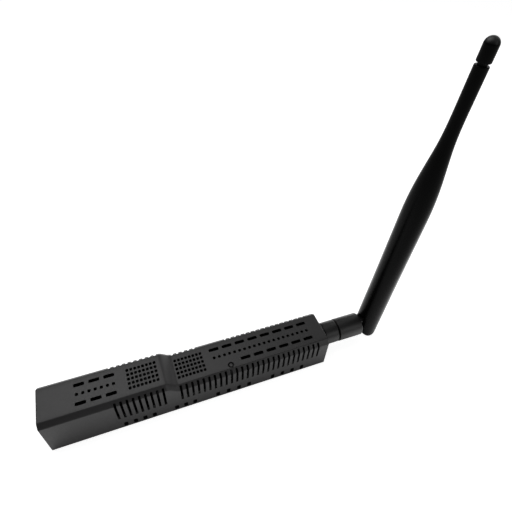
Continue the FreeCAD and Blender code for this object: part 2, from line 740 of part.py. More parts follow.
def arm_outline():
    """The arm's profile: a straight grip, a soft cone and a thin mast."""
    foot = (-ARM_RADIUS, ARM_RADIUS)
    cone_start = (CONE_START, ARM_RADIUS)
    cone_end = (CONE_END, CONE_END_RADIUS)
    taper_end = (TAPER_END, MAST_RADIUS)
    bends = eased(foot, cone_start, cone_end, CONE_START_EASE) + eased(cone_start, cone_end, taper_end, CONE_END_EASE)
    return [(-ARM_RADIUS, 0), foot] + bends + [(MAST_END, MAST_RADIUS), (MAST_END, 0)]


def antenna_arm():
    """The moulded arm: fork ears round about the pivot, the turned grip, cone and mast, and what is cast in it."""
    arm = turned(arm_outline())
    end = block((-ARM_RADIUS - 1, 0), (-ARM_RADIUS - 1, ARM_RADIUS + 1), (-ARM_RADIUS - 1, ARM_RADIUS + 1))
    ear = Part.makeCylinder(ARM_RADIUS, 2 * ARM_RADIUS + 2, Vector(0, -ARM_RADIUS - 1, 0), Vector(0, 1, 0))
    half_slot = TONGUE_HALF + FORK_GAP
    slot = block((-ARM_RADIUS - 1, FORK_FLOOR), (-half_slot, half_slot), (-ARM_RADIUS - 1, ARM_RADIUS + 1))
    cuts = [
        end.cut(ear),
        slot,
        Part.makeCylinder(STUD_RADIUS, 2 * STUD_END, Vector(0, -STUD_END, 0), Vector(0, 1, 0)),
        on_arm(FORK_FLOOR - 1, SLEEVE_START, COAX_RADIUS),
        on_arm(SLEEVE_START, SLEEVE_END, SLEEVE_RADIUS),
        on_arm(SLEEVE_END - 1, RADIATOR_END, RADIATOR_RADIUS),
        on_arm(MAST_END - TIP_STUD_LENGTH, MAST_END + 1, TIP_STUD_RADIUS),
    ]
    return fold(arm.cut(cuts).removeSplitter())


def hinge_studs():
    """Two studs, pressed in the ears, that turn in the tongue's walls and leave room for the coax between them."""
    studs = []
    for side in (-1, 1):
        low, high = sorted((side * (TONGUE_SLOT_HALF + 0.1), side * STUD_END))
        studs.append(Part.makeCylinder(STUD_RADIUS, high - low, Vector(0, low, 0), Vector(0, 1, 0)))
    return fold(Part.makeCompound(studs))


def arm_coax():
    """The coax from the hinge up into the arm, whose core ends as the radiator."""
    return fold(on_arm(ARM_COAX_START, SLEEVE_START, COAX_RADIUS).fuse(on_arm(SLEEVE_START, SLEEVE_END, COAX_RADIUS)))


def dipole_sleeve():
    """The dipole's brass sleeve, folded back over the coax."""
    tube = on_arm(SLEEVE_START, SLEEVE_END, SLEEVE_RADIUS)
    inner = on_arm(SLEEVE_START - 1, SLEEVE_END - SLEEVE_WALL, SLEEVE_RADIUS - SLEEVE_WALL)
    return fold(tube.cut([inner, on_arm(SLEEVE_START, SLEEVE_END + 1, COAX_RADIUS)]))


def radiator_wire():
    """The radiating wire from the sleeve's top into the mast."""
    return fold(on_arm(SLEEVE_END, RADIATOR_END, RADIATOR_RADIUS))


def antenna_tip():
    """The domed cap: its stud plugs the mast and leaves a small groove."""
    dome = TIP_END - TIP_RADIUS
    stud = MAST_END - TIP_STUD_LENGTH
    points = [(stud, 0), (stud, TIP_STUD_RADIUS), (TIP_START, TIP_STUD_RADIUS), (TIP_START, TIP_RADIUS)]
    for i in range(DOME_BANDS + 1):
        angle = math.pi / 2 * i / DOME_BANDS
        points.append((dome + TIP_RADIUS * math.sin(angle), TIP_RADIUS * math.cos(angle)))
    points[-1] = (TIP_END, 0)
    return fold(turned(points))


def processor_module():
    """The processor module's small board."""
    return on_board(30.0, 0, (18.0, 13.2, 0.8))


def processor_can():
    """The can over the processor."""
    return module_can(28.0, (12.0, 12.0, 2.0), 0.8)


def radio_module():
    """The radio module's small board."""
    return on_board(46.0, 0, (8.6, 12.0, 0.8))


def radio_can():
    """The can over the radio chip."""
    return module_can(46.0, (7.6, 10.4, 1.6), 0.8)


PIECES = (
    upper_shell,
    bottom_plate,
    case_screws,
    main_board,
    ethernet_housing,
    ethernet_shield,
    ethernet_contacts,
    ethernet_lamps,
    usb_shell,
    usb_tongue,
    lan_magnetics,
    transformer_core,
    transformer_winding,
    insulation_screen,
    supply_capacitors,
    supply_inductor,
    processor_module,
    processor_can,
    radio_module,
    radio_can,
    board_chips,
    crystals,
    status_lights,
    switch_body,
    switch_plunger,
    button_cap,
    antenna_jack,
    jack_insulator,
    jack_contact,
    coupling_nut,
    antenna_collar,
    plug_ferrule,
    plug_insulator,
    plug_pin,
    base_coax,
    swivel_base,
    antenna_arm,
    hinge_studs,
    arm_coax,
    dipole_sleeve,
    radiator_wire,
    antenna_tip,
)


def build():
    """Writes each piece to its own STEP file."""
    os.makedirs("parts", exist_ok=True)
    for piece in PIECES:
        shape = piece()
        name = piece.__name__
        print(f"{name:22s} solids {len(shape.Solids)} valid {shape.isValid()} volume {shape.Volume:.1f}")
        shape.exportStep(f"parts/{name}.step")


build()
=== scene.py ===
"""Dresses a smart home radio stick: a slim vented case that lies on a white floor, and its folding antenna.

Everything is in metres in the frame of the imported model: origin under the middle of the case, +Z up,
+X along the case towards the antenna. Sizes that a maker would write in millimetres are multiplied by MM.
"""

import json
import math

import bpy
import numpy as np
from mathutils import Matrix, Vector


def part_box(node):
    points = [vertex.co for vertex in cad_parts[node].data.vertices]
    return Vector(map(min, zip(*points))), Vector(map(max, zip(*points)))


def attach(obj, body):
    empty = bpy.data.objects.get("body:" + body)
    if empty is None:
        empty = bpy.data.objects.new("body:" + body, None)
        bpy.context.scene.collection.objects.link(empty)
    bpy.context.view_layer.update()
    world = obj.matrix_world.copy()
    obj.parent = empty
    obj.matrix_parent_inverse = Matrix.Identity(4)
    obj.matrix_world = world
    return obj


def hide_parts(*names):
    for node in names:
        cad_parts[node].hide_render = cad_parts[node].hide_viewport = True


bl_info = {
    "name": "Radio stick dressing",
    "version": (1, 0, 0),
    "blender": (4, 5, 0),
    "location": "3D View > Sidebar > Radio stick",
    "description": "Builds the moulded surfaces, finishes and stage of a vented radio stick with a folding antenna",
    "category": "Object",
}

MM = 0.001

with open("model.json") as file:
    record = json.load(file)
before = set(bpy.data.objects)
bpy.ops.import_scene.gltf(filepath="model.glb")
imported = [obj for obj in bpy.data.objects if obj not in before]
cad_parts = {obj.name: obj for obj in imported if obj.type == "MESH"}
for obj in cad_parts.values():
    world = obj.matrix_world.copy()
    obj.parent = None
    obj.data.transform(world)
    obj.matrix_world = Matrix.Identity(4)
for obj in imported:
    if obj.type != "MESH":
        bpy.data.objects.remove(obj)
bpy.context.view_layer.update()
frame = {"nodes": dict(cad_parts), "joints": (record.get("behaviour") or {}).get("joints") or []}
CASE_LOW, CASE_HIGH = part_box("upper_shell")
BASE_LOW, BASE_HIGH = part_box("swivel_base")
COLLAR_LOW, COLLAR_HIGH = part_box("antenna_collar")
PLUG_LOW, PLUG_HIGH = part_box("plug_ferrule")
HINGE = next(joint for joint in frame["joints"] if joint["name"] == "antenna_fold")

# Case form
WALL = 1.6 * MM
ROOF = 1.0 * MM
FLARE_ALONG = 0.15 * MM
FLARE_ACROSS = 0.3 * MM
BEVEL_WALL = 1.3 * MM
BEVEL = 2.3 * MM
CORNER_RADIUS = 0.6 * MM
EDGE_RADIUS = 0.8 * MM
RIM_RADIUS = 0.45 * MM
STEP_MIDDLE = -12.1 * MM

# Vents in the top, all on five rows: (first, pitch, count) along X
ROW_PITCH = 2.375 * MM
VENT_WIDTH = 1.6 * MM
HOLE_LENGTH = 1.42 * MM
PORT_GRID = (-30.53 * MM, 1.843 * MM, 8)
RADIO_GRID = (-7.81 * MM, 1.843 * MM, 8)
DOT_LENGTH = 1.5 * MM
PORT_DOTS = (-53.76 * MM, 2.732 * MM, 7)
RADIO_DOTS = (11.16 * MM, 2.698 * MM, 20)
DASH_WIDTH = 1.8 * MM
PORT_DASHES = (-52.46 * MM, 6.745 * MM, 3)
PORT_DASH_LENGTH = 5.0 * MM
RADIO_DASHES = (12.25 * MM, 6.98 * MM, 8)
RADIO_DASH_LENGTH = 5.25 * MM
BUTTON_SIDE_SKIPPED = 2

# Vents in the sides
SLOT_SIZE = 1.15 * MM
SLOT_BOTTOM = 9.2 * MM
PORT_SLOT_REACH = 1.25 / 2.3
RADIO_SLOT_REACH = 1.85 / 2.3
PORT_SLOTS = (-38.62 * MM, 2.76 * MM, 9)
RADIO_SLOTS = (-8.26 * MM, 2.816 * MM, 27)
BACK_SLOTS_SKIPPED = (5, 6, 7, 8, 9)
BACK_SLOT_EXTRA = 0.7
WINDOW_LENGTH = 2.15 * MM
WINDOW_HEIGHT = 3.6 * MM
WINDOW_Z = 2.95 * MM
WINDOWS = (
    (-36.6 * MM, 4.594 * MM, 4),
    (-11.72 * MM, 4.66 * MM, 3),
    (9.66 * MM, 5.652 * MM, 4),
    (39.84 * MM, 5.661 * MM, 4),
)

# Openings in the ends and the button's hole
AXIS_Z = HINGE["pos_m"][2]
BARREL_HOLE = 3.4 * MM
JACK_GAP = 0.15 * MM
USB_GAP = 0.2 * MM
BUTTON_HOLE = 1.6 * MM

# Antenna
COLLAR_RING = 0.8 * MM
COLLAR_NECK = 0.5 * MM
COLLAR_NECK_DEPTH = 0.9 * MM
PIVOT = Vector(HINGE["pos_m"])
FOLD_ANGLE = math.radians(HINGE["range_deg"][1])
# Heights between which the cap changes, at rest, from satin to a rougher surface whose lighter grey colour is a
# painted highlight
DOME_HIGHLIGHT_LOW = 161.5 * MM
DOME_HIGHLIGHT_HIGH = 163.0 * MM
GROOVE_RADIUS = 4.4 * MM
SPIGOT_LENGTH = 0.5 * MM
FERRULE_RADIUS = 2.3 * MM
TONGUE_HALF = 2.5 * MM
TONGUE_RADIUS = 5.7 * MM
COAX_SLOT_HALF = 1.1 * MM
COAX_RADIUS = 0.9 * MM
STUD_HOLE = 1.05 * MM
FORK_HALF = 2.65 * MM
FORK_FLOOR = 6.4 * MM
EAR_RADIUS = 6.3 * MM
MAST_END = 143.1 * MM
TIP_START = 144.0 * MM
TIP_END = 152.6 * MM
TIP_STUD = 1.8 * MM

# Stage
FLOOR_LIFT = 0.85
BASE_GLOW = 0.45
# Pools of painted light on the floor, seen only in reflections: (centre, radius, gain)
CASE_POOL = ((-25 * MM, 0, 0), 200 * MM, 0.9)
ANTENNA_POOL = ((165 * MM, 35 * MM, 0), 170 * MM, 3.2)
# Reach of the painted shade on the floor's glow close to the object
OCCLUSION_SHADE_REACH = 40 * MM


# Meshes

def add_object(name, verts, faces):
    """An object at the origin from an array of points and a list of face arrays."""
    mesh = bpy.data.meshes.new(name)
    mesh.from_pydata(np.asarray(verts).tolist(), [], [list(f) for group in faces for f in group.tolist()])
    mesh.update()
    piece = bpy.data.objects.new(name, mesh)
    bpy.context.scene.collection.objects.link(piece)
    return piece


def grid_faces(count_u, count_v, wrap_u=False, wrap_v=False):
    """Quads of a grid of points counted row by row: cell (i, j) joins points i, i + 1 and j, j + 1."""
    i, j = np.meshgrid(np.arange(count_u - (not wrap_u)), np.arange(count_v - (not wrap_v)), indexing="ij")
    i, j = i.ravel(), j.ravel()
    i2, j2 = (i + 1) % count_u, (j + 1) % count_v
    return np.stack([i * count_v + j, i2 * count_v + j, i2 * count_v + j2, i * count_v + j2], axis=1)


def lathe(name, outline, segments, matrix):
    """Surface of revolution about X: point (x, r) of the outline goes to (x, r cos a, r sin a) for each angle a.

    An outline whose ends have r = 0 closes in two poles. Any other outline is a ring and closes on itself.
    """
    outline = np.array(outline, float)
    angle = 2 * math.pi * np.arange(segments) / segments
    solid = outline[0, 1] == 0
    rings = outline[1:-1] if solid else outline
    x = np.repeat(rings[:, :1], segments, axis=1)
    verts = np.stack([x, rings[:, 1:] * np.cos(angle), rings[:, 1:] * np.sin(angle)], axis=2).reshape(-1, 3)
    faces = [grid_faces(len(rings), segments, wrap_u=not solid, wrap_v=True)]
    if solid:
        verts = np.vstack([verts, [outline[0, 0], 0, 0], [outline[-1, 0], 0, 0]])
        step = np.arange(segments)
        after = (step + 1) % segments
        first, last = len(rings) * segments, len(rings) * segments + 1
        base = (len(rings) - 1) * segments
        faces.append(np.stack([np.full(segments, first), step, after], axis=1))
        faces.append(np.stack([np.full(segments, last), base + after, base + step], axis=1))
    piece = add_object(name, verts, faces)
    piece.data.transform(matrix)
    return face_outwards(piece)


def prism(name, outline, sweep, matrix=Matrix.Identity(4)):
    """A flat outline of points (n, 3) carried along a sweep vector, closed by a face at each end."""
    outline = np.array(outline, float)
    count = len(outline)
    verts = np.vstack([outline, outline + np.array(sweep)])
    sides = grid_faces(2, count, wrap_v=True)
    caps = np.stack([np.arange(count)[::-1], np.arange(count) + count])
    piece = add_object(name, verts, [sides, caps])
    piece.data.transform(matrix)
    return face_outwards(piece)


def face_outwards(piece):
    """Turns every face of a closed mesh outwards."""
    bpy.context.view_layer.objects.active = piece
    bpy.ops.object.select_all(action="DESELECT")
    piece.select_set(True)
    bpy.ops.object.mode_set(mode="EDIT")
    bpy.ops.mesh.select_all(action="SELECT")
    bpy.ops.mesh.normals_make_consistent(inside=False)
    bpy.ops.object.mode_set(mode="OBJECT")
    return piece


def bar(name, centre, radius, sweep, count=48):
    """A round bar: the circle centre + radius (cos a, sin a) across the sweep vector, carried along it."""
    angle = 2 * math.pi * np.arange(count)[:, None] / count
    turned = np.abs(np.array(sweep)) > 0
    first, second = np.eye(3)[~turned]
    return prism(name, np.array(centre) + radius * (np.cos(angle) * first + np.sin(angle) * second), sweep)


def cut(piece, cutters, operation="DIFFERENCE"):
    """Cuts closed shapes out of a piece and keeps the result as its mesh."""
    for cutter in cutters:
        step = piece.modifiers.new(cutter.name, "BOOLEAN")
        step.object = cutter
        step.operation = operation
        step.solver = "EXACT"
    graph = bpy.context.evaluated_depsgraph_get()
    mesh = bpy.data.meshes.new_from_object(piece.evaluated_get(graph))
    piece.modifiers.clear()
    piece.data = mesh
    mesh.name = piece.name
    for cutter in cutters:
        bpy.data.objects.remove(cutter)
    return piece


def soften(piece, width, segments=2, angle=40):
    """Rounds a piece's sharp edges with a bevel of that width."""
    bevel = piece.modifiers.new("edges", "BEVEL")
    bevel.width = width
    bevel.segments = segments
    bevel.limit_method = "ANGLE"
    bevel.angle_limit = math.radians(angle)
    bevel.harden_normals = True
    return piece


def shade(piece, angle=32):
    """Smooth shading, sharp where two faces meet at more than the angle."""
    mesh = piece.data
    mesh.polygons.foreach_set("use_smooth", np.ones(len(mesh.polygons), bool))
    mesh.set_sharp_from_angle(angle=math.radians(angle))
    mesh.update()
    return piece


def dress(piece, material, body, node):
    """Gives a new piece its material, and makes it ride on a body in place of a node of the frame."""
    piece.data.materials.clear()
    piece.data.materials.append(material)
    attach(piece, body)
    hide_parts(node)
    return piece


def paint(material, *nodes):
    """Gives nodes of the frame a finished material."""
    for name in nodes:
        mesh = frame["nodes"][name].data
        if not mesh.materials:
            mesh.materials.append(material)
        for index in range(len(mesh.materials)):
            mesh.materials[index] = material


# Materials

def linear(hex_value):
    """An sRGB hex colour as linear red, green, blue and alpha."""
    parts = [int(hex_value[i:i + 2], 16) / 255 for i in (1, 3, 5)]
    return [c / 12.92 if c <= 0.04045 else ((c + 0.055) / 1.055) ** 2.4 for c in parts] + [1.0]


def add_node(material, kind, links=None, **settings):
    """Adds a node: links maps an input to a value or to another node's output, settings sets its properties."""
    tree = material.node_tree
    made = tree.nodes.new(kind)
    for key, value in settings.items():
        setattr(made, key, value)
    for key, value in (links or {}).items():
        if isinstance(value, bpy.types.NodeSocket):
            tree.links.new(value, made.inputs[key])
        else:
            made.inputs[key].default_value = value
    return made


def new_material(name):
    """An empty node material and its output node."""
    material = bpy.data.materials.new(name)
    material.use_nodes = True
    material.node_tree.nodes.clear()
    return material, add_node(material, "ShaderNodeOutputMaterial")


def grain(material, size, detail=2.0):
    """Noise whose blotches are about that many metres across, on the object's own coordinates."""
    place = add_node(material, "ShaderNodeTexCoord").outputs["Object"]
    return add_node(material, "ShaderNodeTexNoise", {"Vector": place, "Scale": 1 / size, "Detail": detail})


def finished(name, colours, roughness, size, depth, metallic=0.0, spread=12 * MM, **shader):
    """A surface whose colour drifts between two hex values, with roughness and bump from a fine grain.

    roughness is a (low, high) pair, size the grain in metres and depth the height of its bump in metres.
    """
    material, output = new_material(name)
    drift = grain(material, spread)
    fine = grain(material, size, 3.0)
    colour = add_node(material, "ShaderNodeMix", {"Factor": drift.outputs["Fac"]}, data_type="RGBA")
    for socket, value in zip(colour.inputs[6:8], colours):
        socket.default_value = linear(value) if isinstance(value, str) else value
    rough = add_node(
        material,
        "ShaderNodeMapRange",
        {
            "Value": fine.outputs["Fac"],
            "From Min": 0.3,
            "From Max": 0.7,
            "To Min": roughness[0],
            "To Max": roughness[1],
        },
    )
    bump = add_node(material, "ShaderNodeBump", {"Height": fine.outputs["Fac"], "Distance": depth, "Strength": 1.0})
    values = {
        "Base Color": colour.outputs[2],
        "Roughness": rough.outputs["Result"],
        "Normal": bump.outputs["Normal"],
        "Metallic": metallic,
    }
    values.update(shader)
    surface = add_node(material, "ShaderNodeBsdfPrincipled", values)
    material.node_tree.links.new(surface.outputs["BSDF"], output.inputs["Surface"])
    return material


def spark_eroded_abs():
    """Moulded ABS from a spark eroded tool: a dark grey, even, silky matt face with a very fine grain."""
    colours = bpy.context.scene.stick_colours
    return finished(
        "spark_eroded_abs",
        (colours.case_colour, colours.case_drift),
        (0.42, 0.52),
        # The real grain is about 0.1 mm: it is drawn at 0.5 mm so that it still shows from arm's length.
        0.5 * MM,
        0.006 * MM,
        IOR=1.54,
    )


def satin_abs():
    """Moulded black ABS of the antenna: smoother than the case, so its round sides carry a soft highlight."""
    colours = bpy.context.scene.stick_colours
    return finished(
        "satin_black_abs",
        (colours.antenna_colour, colours.antenna_drift),
        (0.25, 0.33),
        0.8 * MM,
        0.004 * MM,
        IOR=1.14,
    )


def grained_black_abs():
    """Black ABS of the antenna's screwed collar and turning base: grained like the case, so it shines grey."""
    return finished(
        "grained_black_abs",
        ("#090809", "#080708"),
        (0.4, 0.5),
        0.5 * MM,
        0.006 * MM,
        IOR=1.5,
    )


def nickel_sheet():
    """Cold rolled steel sheet with bright nickel plating: pale, slightly warm, with faint rolling marks."""
    return finished("nickel_plated_sheet", ("#cfcac0", "#bdb8ad"), (0.22, 0.34), 0.7 * MM, 0.002 * MM, 1.0)


def covered(material, mask, name, surface):
    """Lays a second surface with the same grain over a material where the mask is 1, and renames the material."""
    tree = material.node_tree
    output = next(node for node in tree.nodes if node.type == "OUTPUT_MATERIAL")
    bare = output.inputs["Surface"].links[0].from_socket
    grained = {"Normal": bare.node.inputs["Normal"].links[0].from_socket}
    cover = add_node(material, "ShaderNodeBsdfPrincipled", {**grained, **surface})
    both = add_node(material, "ShaderNodeMixShader", {0: mask, 1: bare, 2: cover.outputs[0]})
    tree.links.new(both.outputs[0], output.inputs["Surface"])
    material.name = name
    return material


def coordinate(material, axis):
    """One of the object's own coordinates."""
    place = add_node(material, "ShaderNodeTexCoord").outputs["Object"]
    return add_node(material, "ShaderNodeSeparateXYZ", {0: place}).outputs[axis]


def abs_with_painted_dome_highlight():
    """Black ABS of the antenna's cap: satin on its side, and on its dome a rougher surface in grey, a painted
    highlight.
    """
    material = satin_abs()
    limits = {"Value": coordinate(material, "Z"), "From Min": DOME_HIGHLIGHT_LOW, "From Max": DOME_HIGHLIGHT_HIGH}
    dome = add_node(material, "ShaderNodeMapRange", limits)
    # The dome's grey base colour is a painted highlight.
    surface = {"Base Color": linear("#202020"), "Roughness": 0.45, "IOR": 1.5}
    return covered(material, dome.outputs["Result"], "black_abs_with_painted_dome_highlight", surface)


def nickel_sheet_painted_dark_inside():
    """The Ethernet jack's nickel plated shield: bright round its mouth, and behind it near black, a painted shade
    inside the case.
    """
    material = nickel_sheet()
    limits = {0: coordinate(material, "X"), 1: CASE_LOW.x + 1.5 * WALL}
    behind = add_node(material, "ShaderNodeMath", limits, operation="GREATER_THAN")
    # Near black behind the mouth: painted shade inside the case.
    surface = {"Base Color": linear("#080809"), "Roughness": 0.7, "IOR": 1.2}
    return covered(material, behind.outputs[0], "nickel_sheet_with_painted_shade", surface)


def gold_plate():
    """Thin gold over nickel on contacts and the antenna jack: warm yellow, smooth and bright."""
    return finished("gold_plated_brass", ("#e3bd63", "#d4aa4e"), (0.16, 0.26), 0.5 * MM, 0.001 * MM, 1.0)


def jack_metal_painted_dark():
    """The antenna's jack: dull and near black, nearly as dark as the plastic round it, a painted shade in the gap
    between case and collar.
    """
    # Near black: painted shade where the jack shows between case and collar.
    return finished("jack_metal_with_painted_shade", ("#0d0d0e", "#0a0a0b"), (0.6, 0.7), 0.5 * MM, 0.002 * MM, IOR=1.3)


def turned_brass():
    """Bare turned brass: yellow metal with fine tool marks, a little dulled."""
    return finished("turned_brass", ("#c7a45a", "#b08d48"), (0.28, 0.42), 0.4 * MM, 0.002 * MM, 1.0)


def zinc_steel():
    """Zinc plated steel screws: grey, faintly blue metal with a satin gloss."""
    return finished("zinc_plated_steel", ("#a9abae", "#94969a"), (0.3, 0.45), 0.4 * MM, 0.002 * MM, 1.0)


def board_painted_black():
    """Epoxy glass board, matt and near black as painted shade inside the case, a little paler where copper lies under
    it.
    """
    # Near black: painted shade inside the case.
    return finished("solder_mask_painted_black", ("#060607", "#09090a"), (0.6, 0.75), 0.9 * MM, 0.02 * MM, 0.0, 2.5 * MM, IOR=1.15)


def cans_painted_black():
    """Shielding cans of the modules and the crystals, dead matt and near black: painted shade inside the case, where
    bright tin would show through the vents.
    """
    # Near black: painted shade inside the case.
    return finished("steel_painted_black_for_shade", ("#0a0a0a", "#080808"), (0.7, 0.8), 0.7 * MM, 0.004 * MM, IOR=1.15)


def glass_filled_nylon():
    """Glass filled nylon of connector bodies: near black, matt with a slightly cloudy skin."""
    return finished("glass_filled_nylon", ("#161617", "#202021"), (0.5, 0.65), 0.6 * MM, 0.006 * MM)


def milky_acrylic():
    """Milky acrylic of light guides and chip lights: pale, soft and a little translucent."""
    return finished("milky_acrylic", ("#dcdfd8", "#cfd4cc"), (0.2, 0.3), 0.8 * MM, 0.001 * MM, IOR=1.49)


def moulded_epoxy():
    """Filled epoxy of chip packages: charcoal, evenly matt with a sandy grain."""
    return finished("moulded_epoxy", ("#0c0c0d", "#101011"), (0.7, 0.8), 0.3 * MM, 0.006 * MM, IOR=1.2)


def sintered_ferrite():
    """Pressed and fired ferrite: dark grey ceramic, matt, with a gritty grain."""
    return finished("sintered_ferrite", ("#0d0d0e", "#0a0a0b"), (0.7, 0.85), 0.4 * MM, 0.02 * MM, IOR=1.2)


def film_painted_black():
    """Polyester film, as tape round the transformer's winding and as a screen: near black as painted shade inside the
    case, dull with soft ripples.
    """
    # Near black: painted shade inside the case.
    return finished("polyester_film_painted_black", ("#080809", "#0b0b0c"), (0.6, 0.7), 2.0 * MM, 0.02 * MM, IOR=1.15)


def sleeve_painted_black():
    """Shrunk sleeve of the electrolytic cans: near black as painted shade inside the case, satin and tight."""
    # Near black: painted shade inside the case.
    return finished("shrunk_sleeve_painted_black", ("#0b0c0e", "#0d0e11"), (0.5, 0.6), 1.5 * MM, 0.01 * MM, IOR=1.2)


def turned_ptfe():
    """Turned PTFE insulator: waxy white with a soft sheen."""
    return finished("turned_ptfe", ("#e9e9e4", "#dededa"), (0.4, 0.5), 0.6 * MM, 0.003 * MM, IOR=1.38)


def fluoropolymer_jacket():
    """Extruded jacket of the thin coax: brown, glossy and slightly wavy."""
    return finished("fluoropolymer_jacket", ("#6e4326", "#5e3820"), (0.2, 0.3), 1.5 * MM, 0.01 * MM, IOR=1.36)


def drawn_copper():
    """Drawn copper wire: warm reddish metal with fine lengthwise marks."""
    return finished("drawn_copper", ("#c9804f", "#b66f42"), (0.25, 0.38), 0.4 * MM, 0.002 * MM, 1.0)


# Case shell

def spaced(row):
    """Centres of a row of vents given as (first, pitch, count)."""
    return row[0] + row[1] * np.arange(row[2])


def around(centres, *offsets):
    """Every centre moved by each offset, in one list."""
    return (np.asarray(centres)[:, None] + np.array(offsets)).ravel()


def quarter(count):
    """Shares of a rounding's length at even steps of its quarter turn, from 0 to 1."""
    return np.sin(np.linspace(0, math.pi / 2, count))


def lines_along():
    """The x of every grid line across the case: vent edges and middles, the eased step and the rounded ends."""
    hole, dot, slot, window = (size / 2 for size in (HOLE_LENGTH, DOT_LENGTH, SLOT_SIZE, WINDOW_LENGTH))
    lines = []
    for row in (PORT_GRID, RADIO_GRID):
        lines.append(around(spaced(row), -hole, 0, hole))
    for row in (PORT_DOTS, RADIO_DOTS):
        lines.append(around(spaced(row), -dot, 0, dot))
    for row in (PORT_SLOTS, RADIO_SLOTS):
        lines.append(around(spaced(row), -slot, 0, slot))
    for row in WINDOWS:
        lines.append(around(spaced(row), -window, 0, window))
    turn = DASH_WIDTH / 2
    for row, length in ((PORT_DASHES, PORT_DASH_LENGTH), (RADIO_DASHES, RADIO_DASH_LENGTH)):
        ends = [length / 2 - turn * share for share in (1, 0.3, 0)]
        lines.append(around(spaced(row), *ends, *[-end for end in ends]))
    reach = bpy.context.scene.stick_case.step_length / 2
    lines.append(STEP_MIDDLE + reach * np.linspace(-1, 1, 17))
    end = CASE_HIGH.x
    corner = end - CORNER_RADIUS + CORNER_RADIUS * quarter(7)
    rim = end - RIM_RADIUS + RIM_RADIUS * quarter(5)
    lines += [corner, rim, -corner, -rim]
    lines = np.unique(np.round(np.concatenate(lines), 6))
    return lines[np.concatenate([[True], np.diff(lines) > 0.015 * MM])]


def step_height(x, high, low, middle, length):
    """The top's height: it falls from high to low along a soft S, 3 t^2 - 2 t^3 over the step's length."""
    t = np.clip((x - middle) / length + 0.5, 0, 1)
    return high + (low - high) * t * t * (3 - 2 * t)


def drop_within(x, start, radius):
    """How far a quarter round of that radius has fallen at x, beginning at start: r - sqrt(r^2 - d^2)."""
    reach = np.clip(np.abs(x) - start, 0, radius)
    return radius - np.sqrt(np.maximum(radius ** 2 - reach ** 2, 0))


def half_section(half_width, height, side_top, over_bevel, edge, foot, rows):
    """Half of the case's cross section for every x, as (y, z) from the middle of the underside's edge to the top.

    The rows climb the side, cross the bevel with a small round at each of its edges and run in along the top.
    """
    one = np.ones_like(height)
    bevel = (height - side_top) * one
    tangent = edge * math.tan(math.pi / 8)
    slip = tangent * math.sqrt(0.5)
    lift = edge * (1 / math.cos(math.pi / 8) - 1)
    across, down = lift * math.cos(math.pi / 8), lift * math.sin(math.pi / 8)
    y = [half_width - foot, half_width]
    z = [0 * one, foot * one]
    for level in rows["side"]:
        y.append(half_width)
        z.append(level * one)
    y += [half_width, half_width - across, half_width - slip]
    z += [side_top - tangent, side_top - down, side_top + slip]
    y.append(half_width - over_bevel * bevel)
    z.append(side_top + over_bevel * bevel)
    inner = half_width - bevel
    y += [inner + slip, inner - down, inner - tangent]
    z += [height - slip, height - across, height]
    for level in rows["top"]:
        y.append(level * one)
        z.append(height)
    return np.stack(y), np.stack(z)


def case_skin(x, rows, inside):
    """Points (x, y, z) of the outer or the inner skin on the grid of lines x and section rows."""
    case = bpy.context.scene.stick_case
    half = CASE_HIGH.y
    high, low, length = CASE_HIGH.z, case.radio_height, case.step_length
    reach = np.where(x < STEP_MIDDLE, PORT_SLOT_REACH, RADIO_SLOT_REACH)
    if inside:
        shift = ROOF * math.tan(math.atan2(high - low, length) / 2)
        height = step_height(x, high - ROOF, low - ROOF, STEP_MIDDLE - shift, length)
        width = np.full_like(x, half - WALL)
        side_top = height + ROOF - BEVEL - BEVEL_WALL * math.sqrt(2) + WALL
        limit = CASE_HIGH.x - 2 * WALL
        beyond = np.clip(np.abs(x) - limit, 0, None)
        x = np.sign(x) * (np.minimum(np.abs(x), limit) + beyond * 0.5)
        y, z = half_section(width, height, side_top, reach, EDGE_RADIUS / 4, 0, rows)
    else:
        height = step_height(x, high, low, STEP_MIDDLE, length)
        width = half - drop_within(x, CASE_HIGH.x - CORNER_RADIUS, CORNER_RADIUS)
        fall = drop_within(x, CASE_HIGH.x - RIM_RADIUS, RIM_RADIUS)
        side_top = height - BEVEL + half - width - fall
        y, z = half_section(width, height - fall, side_top, reach, EDGE_RADIUS, 0.25 * MM, rows)
    y = np.vstack([y, -y[::-1][1:]])
    z = np.vstack([z, z[::-1][1:]])
    return np.stack([np.repeat(x[:, None], len(y), axis=1), y.T, z.T], axis=2)


def near(values, centres):
    """Each value's distance from the nearest centre, with its sign."""
    return values - centres[np.abs(values[:, None] - centres).argmin(axis=1)]


def punch(x, b, row, length, middle, height):
    """Vents of a row of centres: the open grid cells, how far the corners move in, and each corner's side.

    b is each section row's coordinate across the vents. The last stretch at both ends of a vent, as long as half
    of its shorter side, maps a square to a circle: (u, v) goes to (u sqrt(1 - v^2 / 2), v sqrt(1 - u^2 / 2)).
    """
    radius = min(length, height) / 2
    cell_x, cell_b = (x[1:] + x[:-1]) / 2, (b[1:] + b[:-1]) / 2
    cells = np.outer(np.abs(near(cell_x, row)) < length / 2, np.abs(cell_b - middle) < height / 2)
    away, off = near(x, row), b - middle
    touched = np.outer(np.abs(away) < length / 2 + 1e-6, np.abs(off) < height / 2 + 1e-6)
    u = np.sign(away) * np.clip((np.abs(away) - length / 2) / radius + 1, 0, 1)
    v = np.sign(off) * np.clip((np.abs(off) - height / 2) / radius + 1, 0, 1)
    u, v = np.meshgrid(u, v, indexing="ij")
    roundness = bpy.context.scene.stick_case.vent_roundness
    along = radius * roundness * u * (np.sqrt(1 - v ** 2 / 2) - 1)
    across = radius * roundness * v * (np.sqrt(1 - u ** 2 / 2) - 1)
    return cells, touched * along, touched * across, touched * u, touched * v


